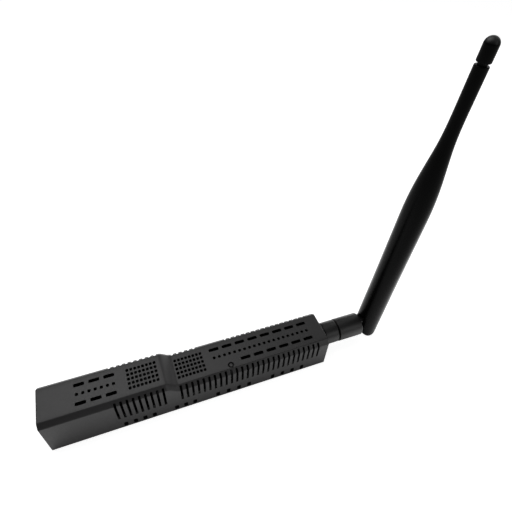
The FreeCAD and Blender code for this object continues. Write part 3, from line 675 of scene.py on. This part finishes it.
def case_shell_mesh():
    """The cover as one closed mesh: outer and inner skin, the walls of every vent, the underside's rim and both ends.

    Both skins lie on the same grid. Cells inside vents are left out, and wherever an open cell meets a kept
    one, a quad joins the two skins. The vents flare inwards, as their pins in the mould taper.
    """
    x = lines_along()
    hole, dash = VENT_WIDTH / 2, DASH_WIDTH / 2
    outer_rows = around([2 * ROW_PITCH], dash, hole, 0, -hole, -dash)
    top = np.concatenate([outer_rows, around([ROW_PITCH], hole, 0, -hole), [hole, 0]])
    low, high = WINDOW_Z - WINDOW_HEIGHT / 2, WINDOW_Z + WINDOW_HEIGHT / 2
    rows = {"side": [low, WINDOW_Z, high, SLOT_BOTTOM], "top": top}
    outer = case_skin(x, rows, False)
    inner = case_skin(x, rows, True)
    count_x, count_v = outer.shape[:2]
    side_b = np.full(count_v, 1.0)
    first = 2
    side_b[first:first + 4] = rows["side"]
    far_side_b = side_b[::-1]
    top_start = first + 4 + 7
    top_b = np.full(count_v, 1.0)
    top_b[top_start:top_start + len(top)] = top
    mirrored = count_v - 1 - np.arange(top_start, top_start + len(top))
    top_b[mirrored] = -top
    open_cells = np.zeros((count_x - 1, count_v - 1), bool)
    shift = np.zeros((count_x, count_v, 3))
    flare = np.zeros((count_x, count_v, 3))

    def add(result, axis):
        cells, along, across, end, side = result
        open_cells[cells] = True
        shift[:, :, 0] += along
        shift[:, :, axis] += across
        flare[:, :, 0] += FLARE_ALONG * end
        flare[:, :, axis] += FLARE_ACROSS * side

    grids = np.concatenate([spaced(PORT_GRID), spaced(RADIO_GRID)])
    for middle in ROW_PITCH * np.arange(-2, 3):
        add(punch(x, top_b, grids, HOLE_LENGTH, middle, VENT_WIDTH), 1)
    dots = np.concatenate([spaced(PORT_DOTS), spaced(RADIO_DOTS)])
    add(punch(x, top_b, dots, DOT_LENGTH, 0, VENT_WIDTH), 1)
    for side in (-1, 1):
        middle = side * 2 * ROW_PITCH
        add(punch(x, top_b, spaced(PORT_DASHES), PORT_DASH_LENGTH, middle, DASH_WIDTH), 1)
        dashes = spaced(RADIO_DASHES)[BUTTON_SIDE_SKIPPED if side < 0 else 0:]
        add(punch(x, top_b, dashes, RADIO_DASH_LENGTH, middle, DASH_WIDTH), 1)
    windows = np.concatenate([spaced(row) for row in WINDOWS])
    for b in (side_b, far_side_b):
        add(punch(x, b, windows, WINDOW_LENGTH, WINDOW_Z, WINDOW_HEIGHT), 2)
    half = SLOT_SIZE / 2
    bottom, over = first + 3, first + 4 + 3
    slope = math.sqrt(0.5)
    all_slots = np.concatenate([spaced(PORT_SLOTS), spaced(RADIO_SLOTS)])
    skipped = [PORT_SLOTS[2] + i for i in BACK_SLOTS_SKIPPED]
    for back, slots in ((False, all_slots), (True, np.delete(all_slots, skipped))):
        in_slot = np.abs(near((x[1:] + x[:-1]) / 2, slots)) < half
        cells, low_row, high_row = np.arange(bottom, over), bottom, over
        if not back:
            cells, low_row, high_row = count_v - 2 - cells, count_v - 1 - bottom, count_v - 1 - over
        open_cells[np.ix_(in_slot, cells)] = True
        away = near(x, slots)
        point = np.where(np.abs(away) < half + 1e-6, (away / half) ** 2, 0) * bpy.context.scene.stick_case.slot_point
        if back:
            bevel = (outer[:, high_row + 2, 2] - outer[:, high_row, 2]) * math.sqrt(2)
            point = np.where(np.abs(away) < half + 1e-6, point - BACK_SLOT_EXTRA * bevel, 0)
        shift[:, low_row, 2] += np.maximum(point, 0)
        shift[:, high_row, 1] += point * slope * (1 if back else -1)
        shift[:, high_row, 2] -= point * slope
    verts = np.concatenate([(outer + shift).reshape(-1, 3), (inner + shift + flare).reshape(-1, 3)])
    offset = count_x * count_v
    index = np.arange(offset).reshape(count_x, count_v)
    kept = ~open_cells
    quads = grid_faces(count_x, count_v)[kept.ravel()]
    padded = np.pad(kept, 1)
    padded[0], padded[-1] = padded[1], padded[-2]
    rims = []
    for axis in (0, 1):
        change = np.diff(padded.astype(int), axis=axis)
        if axis == 0:
            edge = change[:, 1:-1]
            a, b = index[:, :-1], index[:, 1:]
        else:
            edge = change[1:-1, :]
            a, b = index[1:, :], index[:-1, :]
        for sign in (1, -1):
            p, q = (a[edge == sign], b[edge == sign]) if sign > 0 else (b[edge == sign], a[edge == sign])
            rims.append(np.stack([p, q, q + offset, p + offset], axis=1))
    ends = []
    for column in (0, count_x - 1):
        ring = index[column]
        ends += [ring[None, :], ring[None, ::-1] + offset]
        ends.append(np.array([[ring[-1], ring[0], ring[0] + offset, ring[-1] + offset]]))
    faces = [quads, quads[:, ::-1] + offset] + rims + ends
    used = np.zeros(len(verts), bool)
    for group in faces:
        used[group.ravel()] = True
    number = np.cumsum(used) - 1
    return verts[used], [number[group] for group in faces]


def case_openings():
    """Cutters for the Ethernet and USB-C openings, the antenna jack's hole and the button's hole."""
    jack_low, jack_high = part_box("ethernet_shield")
    usb_low, usb_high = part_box("usb_shell")
    button_low, button_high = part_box("button_cap")
    left = CASE_LOW.x - WALL
    y0, y1, z0, z1 = jack_low.y - JACK_GAP, jack_high.y + JACK_GAP, jack_low.z - JACK_GAP, jack_high.z + JACK_GAP
    corners = [(left, y0, z0), (left, y1, z0), (left, y1, z1), (left, y0, z1)]
    jack = prism("jack_opening", corners, (3 * WALL, 0, 0))
    radius = (usb_high.z - usb_low.z) / 2 + USB_GAP
    reach = usb_high.y + USB_GAP - radius
    angle = np.linspace(-math.pi / 2, math.pi / 2, 25)
    middle = (usb_low.z + usb_high.z) / 2
    side = np.stack([np.full(25, left), reach + radius * np.cos(angle), middle + radius * np.sin(angle)], axis=1)
    usb = prism("usb_opening", np.vstack([side, side[::-1] * np.array([1, -1, 1])]), (3 * WALL, 0, 0))
    barrel = bar("barrel_hole", (CASE_HIGH.x - 2 * WALL, 0, AXIS_Z), BARREL_HOLE, (3 * WALL, 0, 0))
    centre = (button_low + button_high) / 2
    centre.z = button_high.z - 3 * WALL / 2
    return [jack, usb, barrel, bar("button_hole", centre, BUTTON_HOLE, (0, 0, 3 * WALL))]


class RADIOSTICK_OT_case_shell(bpy.types.Operator):
    """Builds the vented cover of the case with its eased step, rounded corners and openings"""

    bl_idname = "radiostick.case_shell"
    bl_label = "Case shell"

    def execute(self, context):
        verts, faces = case_shell_mesh()
        shell = add_object("case_shell", verts, faces)
        cut(shell, case_openings())
        shade(shell, 30)
        dress(shell, spark_eroded_abs(), "case", "upper_shell")
        return {"FINISHED"}


class RADIOSTICK_OT_case_parts(bpy.types.Operator):
    """Finishes the flat underside, its screws and the button"""

    bl_idname = "radiostick.case_parts"
    bl_label = "Underside and button"

    def execute(self, context):
        plastic = bpy.data.materials["spark_eroded_abs"]
        paint(plastic, "bottom_plate", "button_cap")
        paint(zinc_steel(), "case_screws")
        return {"FINISHED"}


class RADIOSTICK_OT_ports(bpy.types.Operator):
    """Finishes the Ethernet jack and the USB-C socket"""

    bl_idname = "radiostick.ports"
    bl_label = "Ports"

    def execute(self, context):
        paint(nickel_sheet_painted_dark_inside(), "ethernet_shield")
        paint(nickel_sheet(), "usb_shell")
        paint(glass_filled_nylon(), "ethernet_housing", "usb_tongue", "switch_plunger")
        paint(gold_plate(), "ethernet_contacts", "jack_contact", "plug_pin")
        paint(jack_metal_painted_dark(), "antenna_jack")
        paint(milky_acrylic(), "ethernet_lamps", "status_lights")
        return {"FINISHED"}


class RADIOSTICK_OT_board(bpy.types.Operator):
    """Finishes the circuit board and the components on it"""

    bl_idname = "radiostick.board"
    bl_label = "Circuit board"

    def execute(self, context):
        paint(board_painted_black(), "main_board", "processor_module", "radio_module")
        paint(moulded_epoxy(), "lan_magnetics", "board_chips", "switch_body")
        paint(cans_painted_black(), "processor_can", "radio_can", "crystals")
        paint(sintered_ferrite(), "transformer_core", "supply_inductor")
        paint(film_painted_black(), "transformer_winding", "insulation_screen")
        paint(sleeve_painted_black(), "supply_capacitors")
        return {"FINISHED"}


def eased_corner(corner, before, after, radius, count=5):
    """A round between two straight runs of an outline, as points on a parabola that touches both runs."""
    corner, before, after = (np.array(p, float) for p in (corner, before, after))
    start = corner + (before - corner) / np.linalg.norm(before - corner) * radius
    end = corner + (after - corner) / np.linalg.norm(after - corner) * radius
    t = np.linspace(0, 1, count)[:, None]
    return (1 - t) ** 2 * start + 2 * t * (1 - t) * corner + t ** 2 * end


def rounded(outline, radii, count=5):
    """An outline with its corners eased: radii gives one value per point, 0 for a sharp one."""
    points = []
    for i, (point, radius) in enumerate(zip(outline, radii)):
        if radius:
            points.append(eased_corner(point, outline[i - 1], outline[(i + 1) % len(outline)], radius, count))
        else:
            points.append(np.array([point], float))
    return np.vstack(points)


def outline_across(name, points, half_width, matrix=Matrix.Identity(4)):
    """A flat outline of (x, z) points, as thick as twice the half width along Y and centred on it."""
    outline = [(x, -half_width, z) for x, z in points]
    return prism(name, outline, (0, 2 * half_width, 0), matrix)


class RADIOSTICK_OT_antenna_base(bpy.types.Operator):
    """Builds the screw-on collar and the turning base with its hinge tongue"""

    bl_idname = "radiostick.antenna_base"
    bl_label = "Antenna base"

    def execute(self, context):
        plastic = grained_black_abs()
        antenna = context.scene.stick_antenna
        axis = Matrix.Translation((0, 0, AXIS_Z))
        start, end, radius = COLLAR_LOW.x, COLLAR_HIGH.x, COLLAR_HIGH.y
        mouth = 2 * FERRULE_RADIUS
        ring, neck = start + COLLAR_RING, radius - COLLAR_NECK_DEPTH
        outline = [(start, BARREL_HOLE), (start, radius), (ring, radius), (ring, neck), (ring + COLLAR_NECK, neck)]
        outline += [(ring + COLLAR_NECK, radius), (end, radius), (end, mouth), (end - 1 * MM, mouth)]
        outline.append((end - 1 * MM, BARREL_HOLE))
        radii = (0.1 * MM, 0.2 * MM, 0.1 * MM, 0, 0, 0.1 * MM, 0.2 * MM, 0, 0, 0)
        collar = lathe("collar", rounded(outline, radii), 96, axis)
        shade(collar)
        dress(collar, plastic, "case", "antenna_collar")
        start, radius, shoulder = BASE_LOW.x, BASE_HIGH.y, antenna.shoulder_end
        spigot = start + SPIGOT_LENGTH
        outline = [(start, 0), (start, GROOVE_RADIUS), (spigot, GROOVE_RADIUS), (spigot, radius)]
        outline += [(shoulder, radius), (shoulder, 0)]
        radii = (0, 0, 0, 0.25 * MM, antenna.shoulder_round, 0)
        base = lathe("base", rounded(outline, radii), 96, axis)
        angle = np.linspace(-math.pi / 2, math.pi / 2, 33)
        nose = np.stack([PIVOT.x + TONGUE_RADIUS * np.cos(angle), AXIS_Z + TONGUE_RADIUS * np.sin(angle)], axis=1)
        root = shoulder - 3 * MM
        side = np.vstack([nose, [[root, AXIS_Z + TONGUE_RADIUS], [root, AXIS_Z - TONGUE_RADIUS]]])
        cut(base, [soften(outline_across("tongue", side, TONGUE_HALF), 0.3 * MM)], "UNION")
        bore = bar("ferrule_bore", (start - WALL, 0, AXIS_Z), FERRULE_RADIUS, (PLUG_HIGH.x - start + WALL, 0, 0))
        low, high = AXIS_Z - COAX_RADIUS, AXIS_Z + 8 * MM
        left, right = PIVOT.x - 5 * MM, PIVOT.x + 8 * MM
        slot = outline_across("coax_slot", [(left, low), (right, low), (right, high), (left, high)], COAX_SLOT_HALF)
        stud = bar("stud_hole", (PIVOT.x, -4 * MM, AXIS_Z), STUD_HOLE, (0, 8 * MM, 0))
        cut(base, [bore, slot, stud])
        shade(base)
        dress(base, plastic, "swivel", "swivel_base")
        return {"FINISHED"}


def on_the_arm():
    """Places a piece drawn along X from the hinge pivot on the folded arm."""
    return Matrix.Translation(PIVOT) @ Matrix.Rotation(-FOLD_ANGLE, 4, "Y")


def arm_profile():
    """The arm's radius along its length: a slightly swollen foot, a straight grip, a soft cone and a thin mast.

    Straight runs whose corners are eased into long parabolas.
    """
    a = bpy.context.scene.stick_antenna
    ends = [(-EAR_RADIUS, 0), (-EAR_RADIUS, a.foot_radius), (14 * MM, a.foot_radius), (30 * MM, a.arm_radius)]
    ends += [(a.cone_start, a.arm_radius), (a.cone_end, a.cone_end_radius), (124 * MM, a.mast_radius)]
    ends += [(MAST_END, a.mast_radius), (MAST_END, 0)]
    radii = (0, 0, 8 * MM, 7 * MM, 11 * MM, 6.5 * MM, 3 * MM, 0.45 * MM, 0)
    return rounded(ends, radii, 13)


class RADIOSTICK_OT_antenna_arm(bpy.types.Operator):
    """Builds the arm with its fork, grip, cone and mast, and the domed tip"""

    bl_idname = "radiostick.antenna_arm"
    bl_label = "Antenna arm"

    def execute(self, context):
        plastic = satin_abs()
        arm = lathe("arm", arm_profile(), 96, on_the_arm())
        reach = EAR_RADIUS + 2 * MM
        angle = np.linspace(-math.pi / 2, -3 * math.pi / 2, 33)
        ear = np.stack([EAR_RADIUS * np.cos(angle), EAR_RADIUS * np.sin(angle)], axis=1)
        outside = np.vstack([ear, [(0, reach), (-reach, reach), (-reach, -reach), (0, -reach)]])
        around_ear = outline_across("around_ear", outside, reach, on_the_arm())
        corners = [(-reach, -reach), (FORK_FLOOR, -reach), (FORK_FLOOR, reach), (-reach, reach)]
        fork = outline_across("fork_slot", corners, FORK_HALF, on_the_arm())
        cut(arm, [around_ear, fork])
        shade(arm)
        dress(arm, plastic, "arm", "antenna_arm")
        radius = context.scene.stick_antenna.mast_radius
        turn = np.linspace(0, math.pi / 2, 17)
        dome = np.stack([TIP_END - radius + radius * np.sin(turn), radius * np.cos(turn)], axis=1)
        dome[-1] = (TIP_END, 0)
        low = [(TIP_START - 2 * MM, 0), (TIP_START - 2 * MM, TIP_STUD), (TIP_START, TIP_STUD)]
        rim = eased_corner((TIP_START, radius), low[-1], dome[0], 0.45 * MM, 7)
        tip = lathe("tip", np.vstack([low, rim, dome]), 96, on_the_arm())
        shade(tip)
        dress(tip, abs_with_painted_dome_highlight(), "arm", "antenna_tip")
        return {"FINISHED"}


class RADIOSTICK_OT_antenna_inside(bpy.types.Operator):
    """Finishes the antenna's hidden nut, plug, coax, sleeve, radiator and hinge studs"""

    bl_idname = "radiostick.antenna_inside"
    bl_label = "Antenna inside"

    def execute(self, context):
        paint(turned_brass(), "coupling_nut", "plug_ferrule", "dipole_sleeve")
        paint(turned_ptfe(), "jack_insulator", "plug_insulator")
        paint(fluoropolymer_jacket(), "base_coax", "arm_coax")
        paint(drawn_copper(), "radiator_wire")
        paint(bpy.data.materials["zinc_plated_steel"], "hinge_studs")
        return {"FINISHED"}


# Stage

def camera_matrix(place, yaw, down, roll):
    """The camera's pose: it looks along +Y turned by yaw, down by an angle, and rolls about its own axis."""
    sight = Vector((0, math.cos(down), -math.sin(down)))
    right = Vector((1, 0, 0))
    below = sight.cross(right)
    across = math.cos(roll) * right + math.sin(roll) * below
    above = math.sin(roll) * right - math.cos(roll) * below
    turn = Matrix.Rotation(-yaw, 3, "Z")
    columns = [turn @ v for v in (across, above, -sight)]
    pose = Matrix.Identity(4)
    for i, column in enumerate(columns):
        for j in range(3):
            pose[j][i] = column[j]
        pose[i][3] = place[i]
    return pose


def add_softbox(name, place, target, size, radiance):
    """A square area light that faces a target. Its power follows from the radiance: pi times area times radiance."""
    light = bpy.data.lights.new(name, "AREA")
    light.size = size
    light.energy = math.pi * size * size * radiance
    lamp = bpy.data.objects.new(name, light)
    lamp.location = place
    lamp.rotation_euler = (Vector(target) - Vector(place)).to_track_quat("-Z", "Y").to_euler()
    bpy.context.scene.collection.objects.link(lamp)


def floor_material():
    """White seamless paper that the camera sees bleached to white: diffuse white plus a glow.

    Camera rays meet an even glow, and the object's shadow stays where the missing light takes the sum under
    white. Reflections meet a base glow plus pools of glow (1 - distance / radius) squared, painted light seen only
    in reflections, times the ambient occlusion cubed, a painted shade that keeps the paper darker close to the object.
    """
    material, output = new_material("white_seamless_paper")

    def compute(operation, *values):
        return add_node(material, "ShaderNodeMath", dict(enumerate(values)), operation=operation).outputs[0]

    paper = add_node(material, "ShaderNodeBsdfDiffuse", {"Color": linear("#e6e6e6")})
    seen = add_node(material, "ShaderNodeLightPath")
    place = add_node(material, "ShaderNodeTexCoord").outputs["Object"]
    pool = BASE_GLOW
    # Pools of painted light, seen only in reflections.
    for centre, radius, gain in (CASE_POOL, ANTENNA_POOL):
        away = add_node(material, "ShaderNodeVectorMath", {0: place, 1: centre}, operation="DISTANCE")
        reach = compute("DIVIDE", away.outputs["Value"], radius)
        share = compute("MAXIMUM", compute("SUBTRACT", 1.0, reach), 0.0)
        pool = compute("MULTIPLY_ADD", compute("MULTIPLY", share, share), gain, pool)
    # Ambient occlusion cubed: painted shade on the floor's glow close to the object.
    occlusion_shade = add_node(material, "ShaderNodeAmbientOcclusion", {"Distance": OCCLUSION_SHADE_REACH}).outputs["AO"]
    mirrored = compute("MULTIPLY", compute("POWER", occlusion_shade, 3.0), pool)
    mirrored = compute("MULTIPLY", mirrored, seen.outputs["Is Glossy Ray"])
    strength = compute("MULTIPLY_ADD", seen.outputs["Is Camera Ray"], FLOOR_LIFT, mirrored)
    glow = add_node(material, "ShaderNodeEmission", {"Color": linear("#ffffff"), "Strength": strength})
    both = add_node(material, "ShaderNodeAddShader", {0: paper.outputs[0], 1: glow.outputs[0]})
    material.node_tree.links.new(both.outputs[0], output.inputs["Surface"])
    return material


class RADIOSTICK_OT_stage(bpy.types.Operator):
    """Sets the white floor, the soft studio light and the camera at the photograph's angle"""

    bl_idname = "radiostick.stage"
    bl_label = "Stage"

    def execute(self, context):
        scene = context.scene
        size = 3.0
        corners = np.array([(-size, -size, 0), (size, -size, 0), (size, size, 0), (-size, size, 0)])
        floor = add_object("floor", corners - np.array([0, 0, 0.05 * MM]), [np.array([[0, 1, 2, 3]])])
        floor.data.materials.append(floor_material())
        world = bpy.data.worlds.new("studio")
        scene.world = world
        world.use_nodes = True
        room = scene.stick_stage.world_light
        seen = add_node(world, "ShaderNodeLightPath").outputs["Is Camera Ray"]
        strength = add_node(world, "ShaderNodeMath", {0: seen, 1: 1.0 - room, 2: room}, operation="MULTIPLY_ADD")
        background = world.node_tree.nodes["Background"]
        background.inputs["Color"].default_value = linear("#ffffff")
        world.node_tree.links.new(strength.outputs[0], background.inputs["Strength"])
        level = scene.stick_stage.lamp_light
        add_softbox("overhead", (-0.02, 0.12, 0.34), (0, 0, 0), 0.3, 0.75 * level)
        add_softbox("back", (-0.22, 0.36, 0.6), (-0.05, 0, 0.02), 0.36, level)
        add_softbox("front", (0.35, -0.55, 0.36), (0.05, 0, 0.02), 0.3, 1.2 * level)
        add_softbox("right", (0.52, 0.3, 0.26), (0, 0, 0.02), 0.46, 0.5 * level)
        camera = bpy.data.objects.new("camera", bpy.data.cameras.new("camera"))
        scene.collection.objects.link(camera)
        stage = scene.stick_stage
        camera.matrix_world = camera_matrix(stage.camera_place, stage.camera_yaw, stage.camera_down, stage.camera_roll)
        camera.data.lens = stage.camera_lens
        camera.data.shift_x = stage.shift_x
        camera.data.shift_y = stage.shift_y
        camera.data.clip_start = 0.01
        scene.camera = camera
        scene.view_settings.view_transform = "Standard"
        return {"FINISHED"}


# Settings that a user would change

class StickCase(bpy.types.PropertyGroup):
    radio_height: bpy.props.FloatProperty(
        name="Thin half's height",
        description="Height of the case's half towards the antenna",
        default=20.0 * MM,
        unit="LENGTH",
        precision=5,
    )
    step_length: bpy.props.FloatProperty(
        name="Step's length",
        description="Length along the case over which the top falls to the thin half",
        default=6.4 * MM,
        unit="LENGTH",
        precision=5,
    )
    vent_roundness: bpy.props.FloatProperty(
        name="Vents' roundness",
        description="How round the vents' corners are, from square to round",
        default=0.6,
        min=0.0,
        max=1.0,
        subtype="FACTOR",
    )
    slot_point: bpy.props.FloatProperty(
        name="Slots' point",
        description="How far the side slots' corners draw in at both ends",
        default=0.15 * MM,
        unit="LENGTH",
        precision=5,
    )


class StickAntenna(bpy.types.PropertyGroup):
    arm_radius: bpy.props.FloatProperty(
        name="Grip radius",
        description="Radius of the antenna's straight grip",
        default=6.22 * MM,
        unit="LENGTH",
        precision=5,
    )
    foot_radius: bpy.props.FloatProperty(
        name="Foot radius",
        description="Radius of the antenna's foot at the hinge",
        default=6.3 * MM,
        unit="LENGTH",
        precision=5,
    )
    mast_radius: bpy.props.FloatProperty(
        name="Mast radius",
        description="Radius of the thin mast and its tip",
        default=2.75 * MM,
        unit="LENGTH",
        precision=5,
    )
    cone_start: bpy.props.FloatProperty(
        name="Cone start",
        description="Where the grip turns into the cone, from the hinge",
        default=87.0 * MM,
        unit="LENGTH",
        precision=5,
    )
    cone_end: bpy.props.FloatProperty(
        name="Cone end",
        description="Where the cone turns into the mast, from the hinge",
        default=114.3 * MM,
        unit="LENGTH",
        precision=5,
    )
    cone_end_radius: bpy.props.FloatProperty(
        name="Cone end radius",
        description="Radius where the cone turns into the mast",
        default=2.94 * MM,
        unit="LENGTH",
        precision=5,
    )
    shoulder_round: bpy.props.FloatProperty(
        name="Base rounding",
        description="How far the round at the turning base's shoulder reaches",
        default=0.7 * MM,
        unit="LENGTH",
        precision=5,
    )
    shoulder_end: bpy.props.FloatProperty(
        name="Base end",
        description="Where the turning base's round shoulder ends, along X",
        default=95.7 * MM,
        unit="LENGTH",
        precision=5,
    )


class StickColours(bpy.types.PropertyGroup):
    case_colour: bpy.props.FloatVectorProperty(
        name="Case colour",
        description="Colour of the case's plastic",
        default=linear("#1f1e1f"),
        size=4,
        min=0.0,
        max=1.0,
        subtype="COLOR",
    )
    case_drift: bpy.props.FloatVectorProperty(
        name="Case colour, other tone",
        description="The tone that the case's plastic drifts to",
        default=linear("#1c1b1c"),
        size=4,
        min=0.0,
        max=1.0,
        subtype="COLOR",
    )
    antenna_colour: bpy.props.FloatVectorProperty(
        name="Antenna colour",
        description="Colour of the antenna's plastic",
        default=linear("#040404"),
        size=4,
        min=0.0,
        max=1.0,
        subtype="COLOR",
    )
    antenna_drift: bpy.props.FloatVectorProperty(
        name="Antenna colour, other tone",
        description="The tone that the antenna's plastic drifts to",
        default=linear("#060606"),
        size=4,
        min=0.0,
        max=1.0,
        subtype="COLOR",
    )


class StickStage(bpy.types.PropertyGroup):
    camera_place: bpy.props.FloatVectorProperty(
        name="Camera place",
        description="Where the camera stands",
        default=(-18.3685 * MM, -111.586 * MM, 208.289 * MM),
        subtype="TRANSLATION",
        unit="LENGTH",
        precision=5,
    )
    camera_yaw: bpy.props.FloatProperty(
        name="Camera yaw",
        description="How far the camera is turned clockwise from +Y",
        default=math.radians(22.636),
        subtype="ANGLE",
    )
    camera_down: bpy.props.FloatProperty(
        name="Camera tilt",
        description="How far the camera looks down",
        default=math.radians(44.701),
        subtype="ANGLE",
    )
    camera_roll: bpy.props.FloatProperty(
        name="Camera roll",
        description="How far the camera is rolled about its own axis",
        default=math.radians(-3.079),
        subtype="ANGLE",
    )
    camera_lens: bpy.props.FloatProperty(
        name="Camera lens",
        description="Focal length on a 36 mm sensor",
        default=29.987,
        unit="CAMERA",
    )
    shift_x: bpy.props.FloatProperty(
        name="Shift across",
        description="Sideways lens shift as a share of the picture",
        default=0.0094,
    )
    shift_y: bpy.props.FloatProperty(
        name="Shift up",
        description="Upward lens shift as a share of the picture",
        default=-0.0056,
    )
    world_light: bpy.props.FloatProperty(
        name="Room light",
        description="Strength of the even light from all sides",
        default=0.16,
    )
    lamp_light: bpy.props.FloatProperty(
        name="Softbox light",
        description="Radiance of the softboxes",
        default=1.6,
    )


class RADIOSTICK_PT_panel(bpy.types.Panel):
    """Lists the radio stick's operators and settings"""

    bl_idname = "RADIOSTICK_PT_panel"
    bl_label = "Radio stick"
    bl_space_type = "VIEW_3D"
    bl_region_type = "UI"
    bl_category = "Radio stick"

    def draw(self, context):
        for operator in OPERATORS:
            self.layout.operator(operator.bl_idname)
        for group in (getattr(context.scene, name) for name in GROUPS):
            box = self.layout.box()
            for name in group.__annotations__:
                box.prop(group, name)


OPERATORS = (
    RADIOSTICK_OT_case_shell,
    RADIOSTICK_OT_case_parts,
    RADIOSTICK_OT_ports,
    RADIOSTICK_OT_board,
    RADIOSTICK_OT_antenna_base,
    RADIOSTICK_OT_antenna_arm,
    RADIOSTICK_OT_antenna_inside,
    RADIOSTICK_OT_stage,
)

GROUPS = {
    "stick_case": StickCase,
    "stick_antenna": StickAntenna,
    "stick_colours": StickColours,
    "stick_stage": StickStage,
}


def register():
    """Registers the settings, the operators and the panel."""
    for name, group in GROUPS.items():
        bpy.utils.register_class(group)
        setattr(bpy.types.Scene, name, bpy.props.PointerProperty(type=group))
    for operator in OPERATORS:
        bpy.utils.register_class(operator)
    bpy.utils.register_class(RADIOSTICK_PT_panel)


def unregister():
    """Takes the panel, the operators and the settings away again."""
    bpy.utils.unregister_class(RADIOSTICK_PT_panel)
    for operator in reversed(OPERATORS):
        bpy.utils.unregister_class(operator)
    for name, group in GROUPS.items():
        delattr(bpy.types.Scene, name)
        bpy.utils.unregister_class(group)


def main():
    """Builds every piece and the stage."""
    register()
    bpy.ops.radiostick.case_shell()
    bpy.ops.radiostick.case_parts()
    bpy.ops.radiostick.ports()
    bpy.ops.radiostick.board()
    bpy.ops.radiostick.antenna_base()
    bpy.ops.radiostick.antenna_arm()
    bpy.ops.radiostick.antenna_inside()
    bpy.ops.radiostick.stage()


if __name__ == "__main__":
    main()
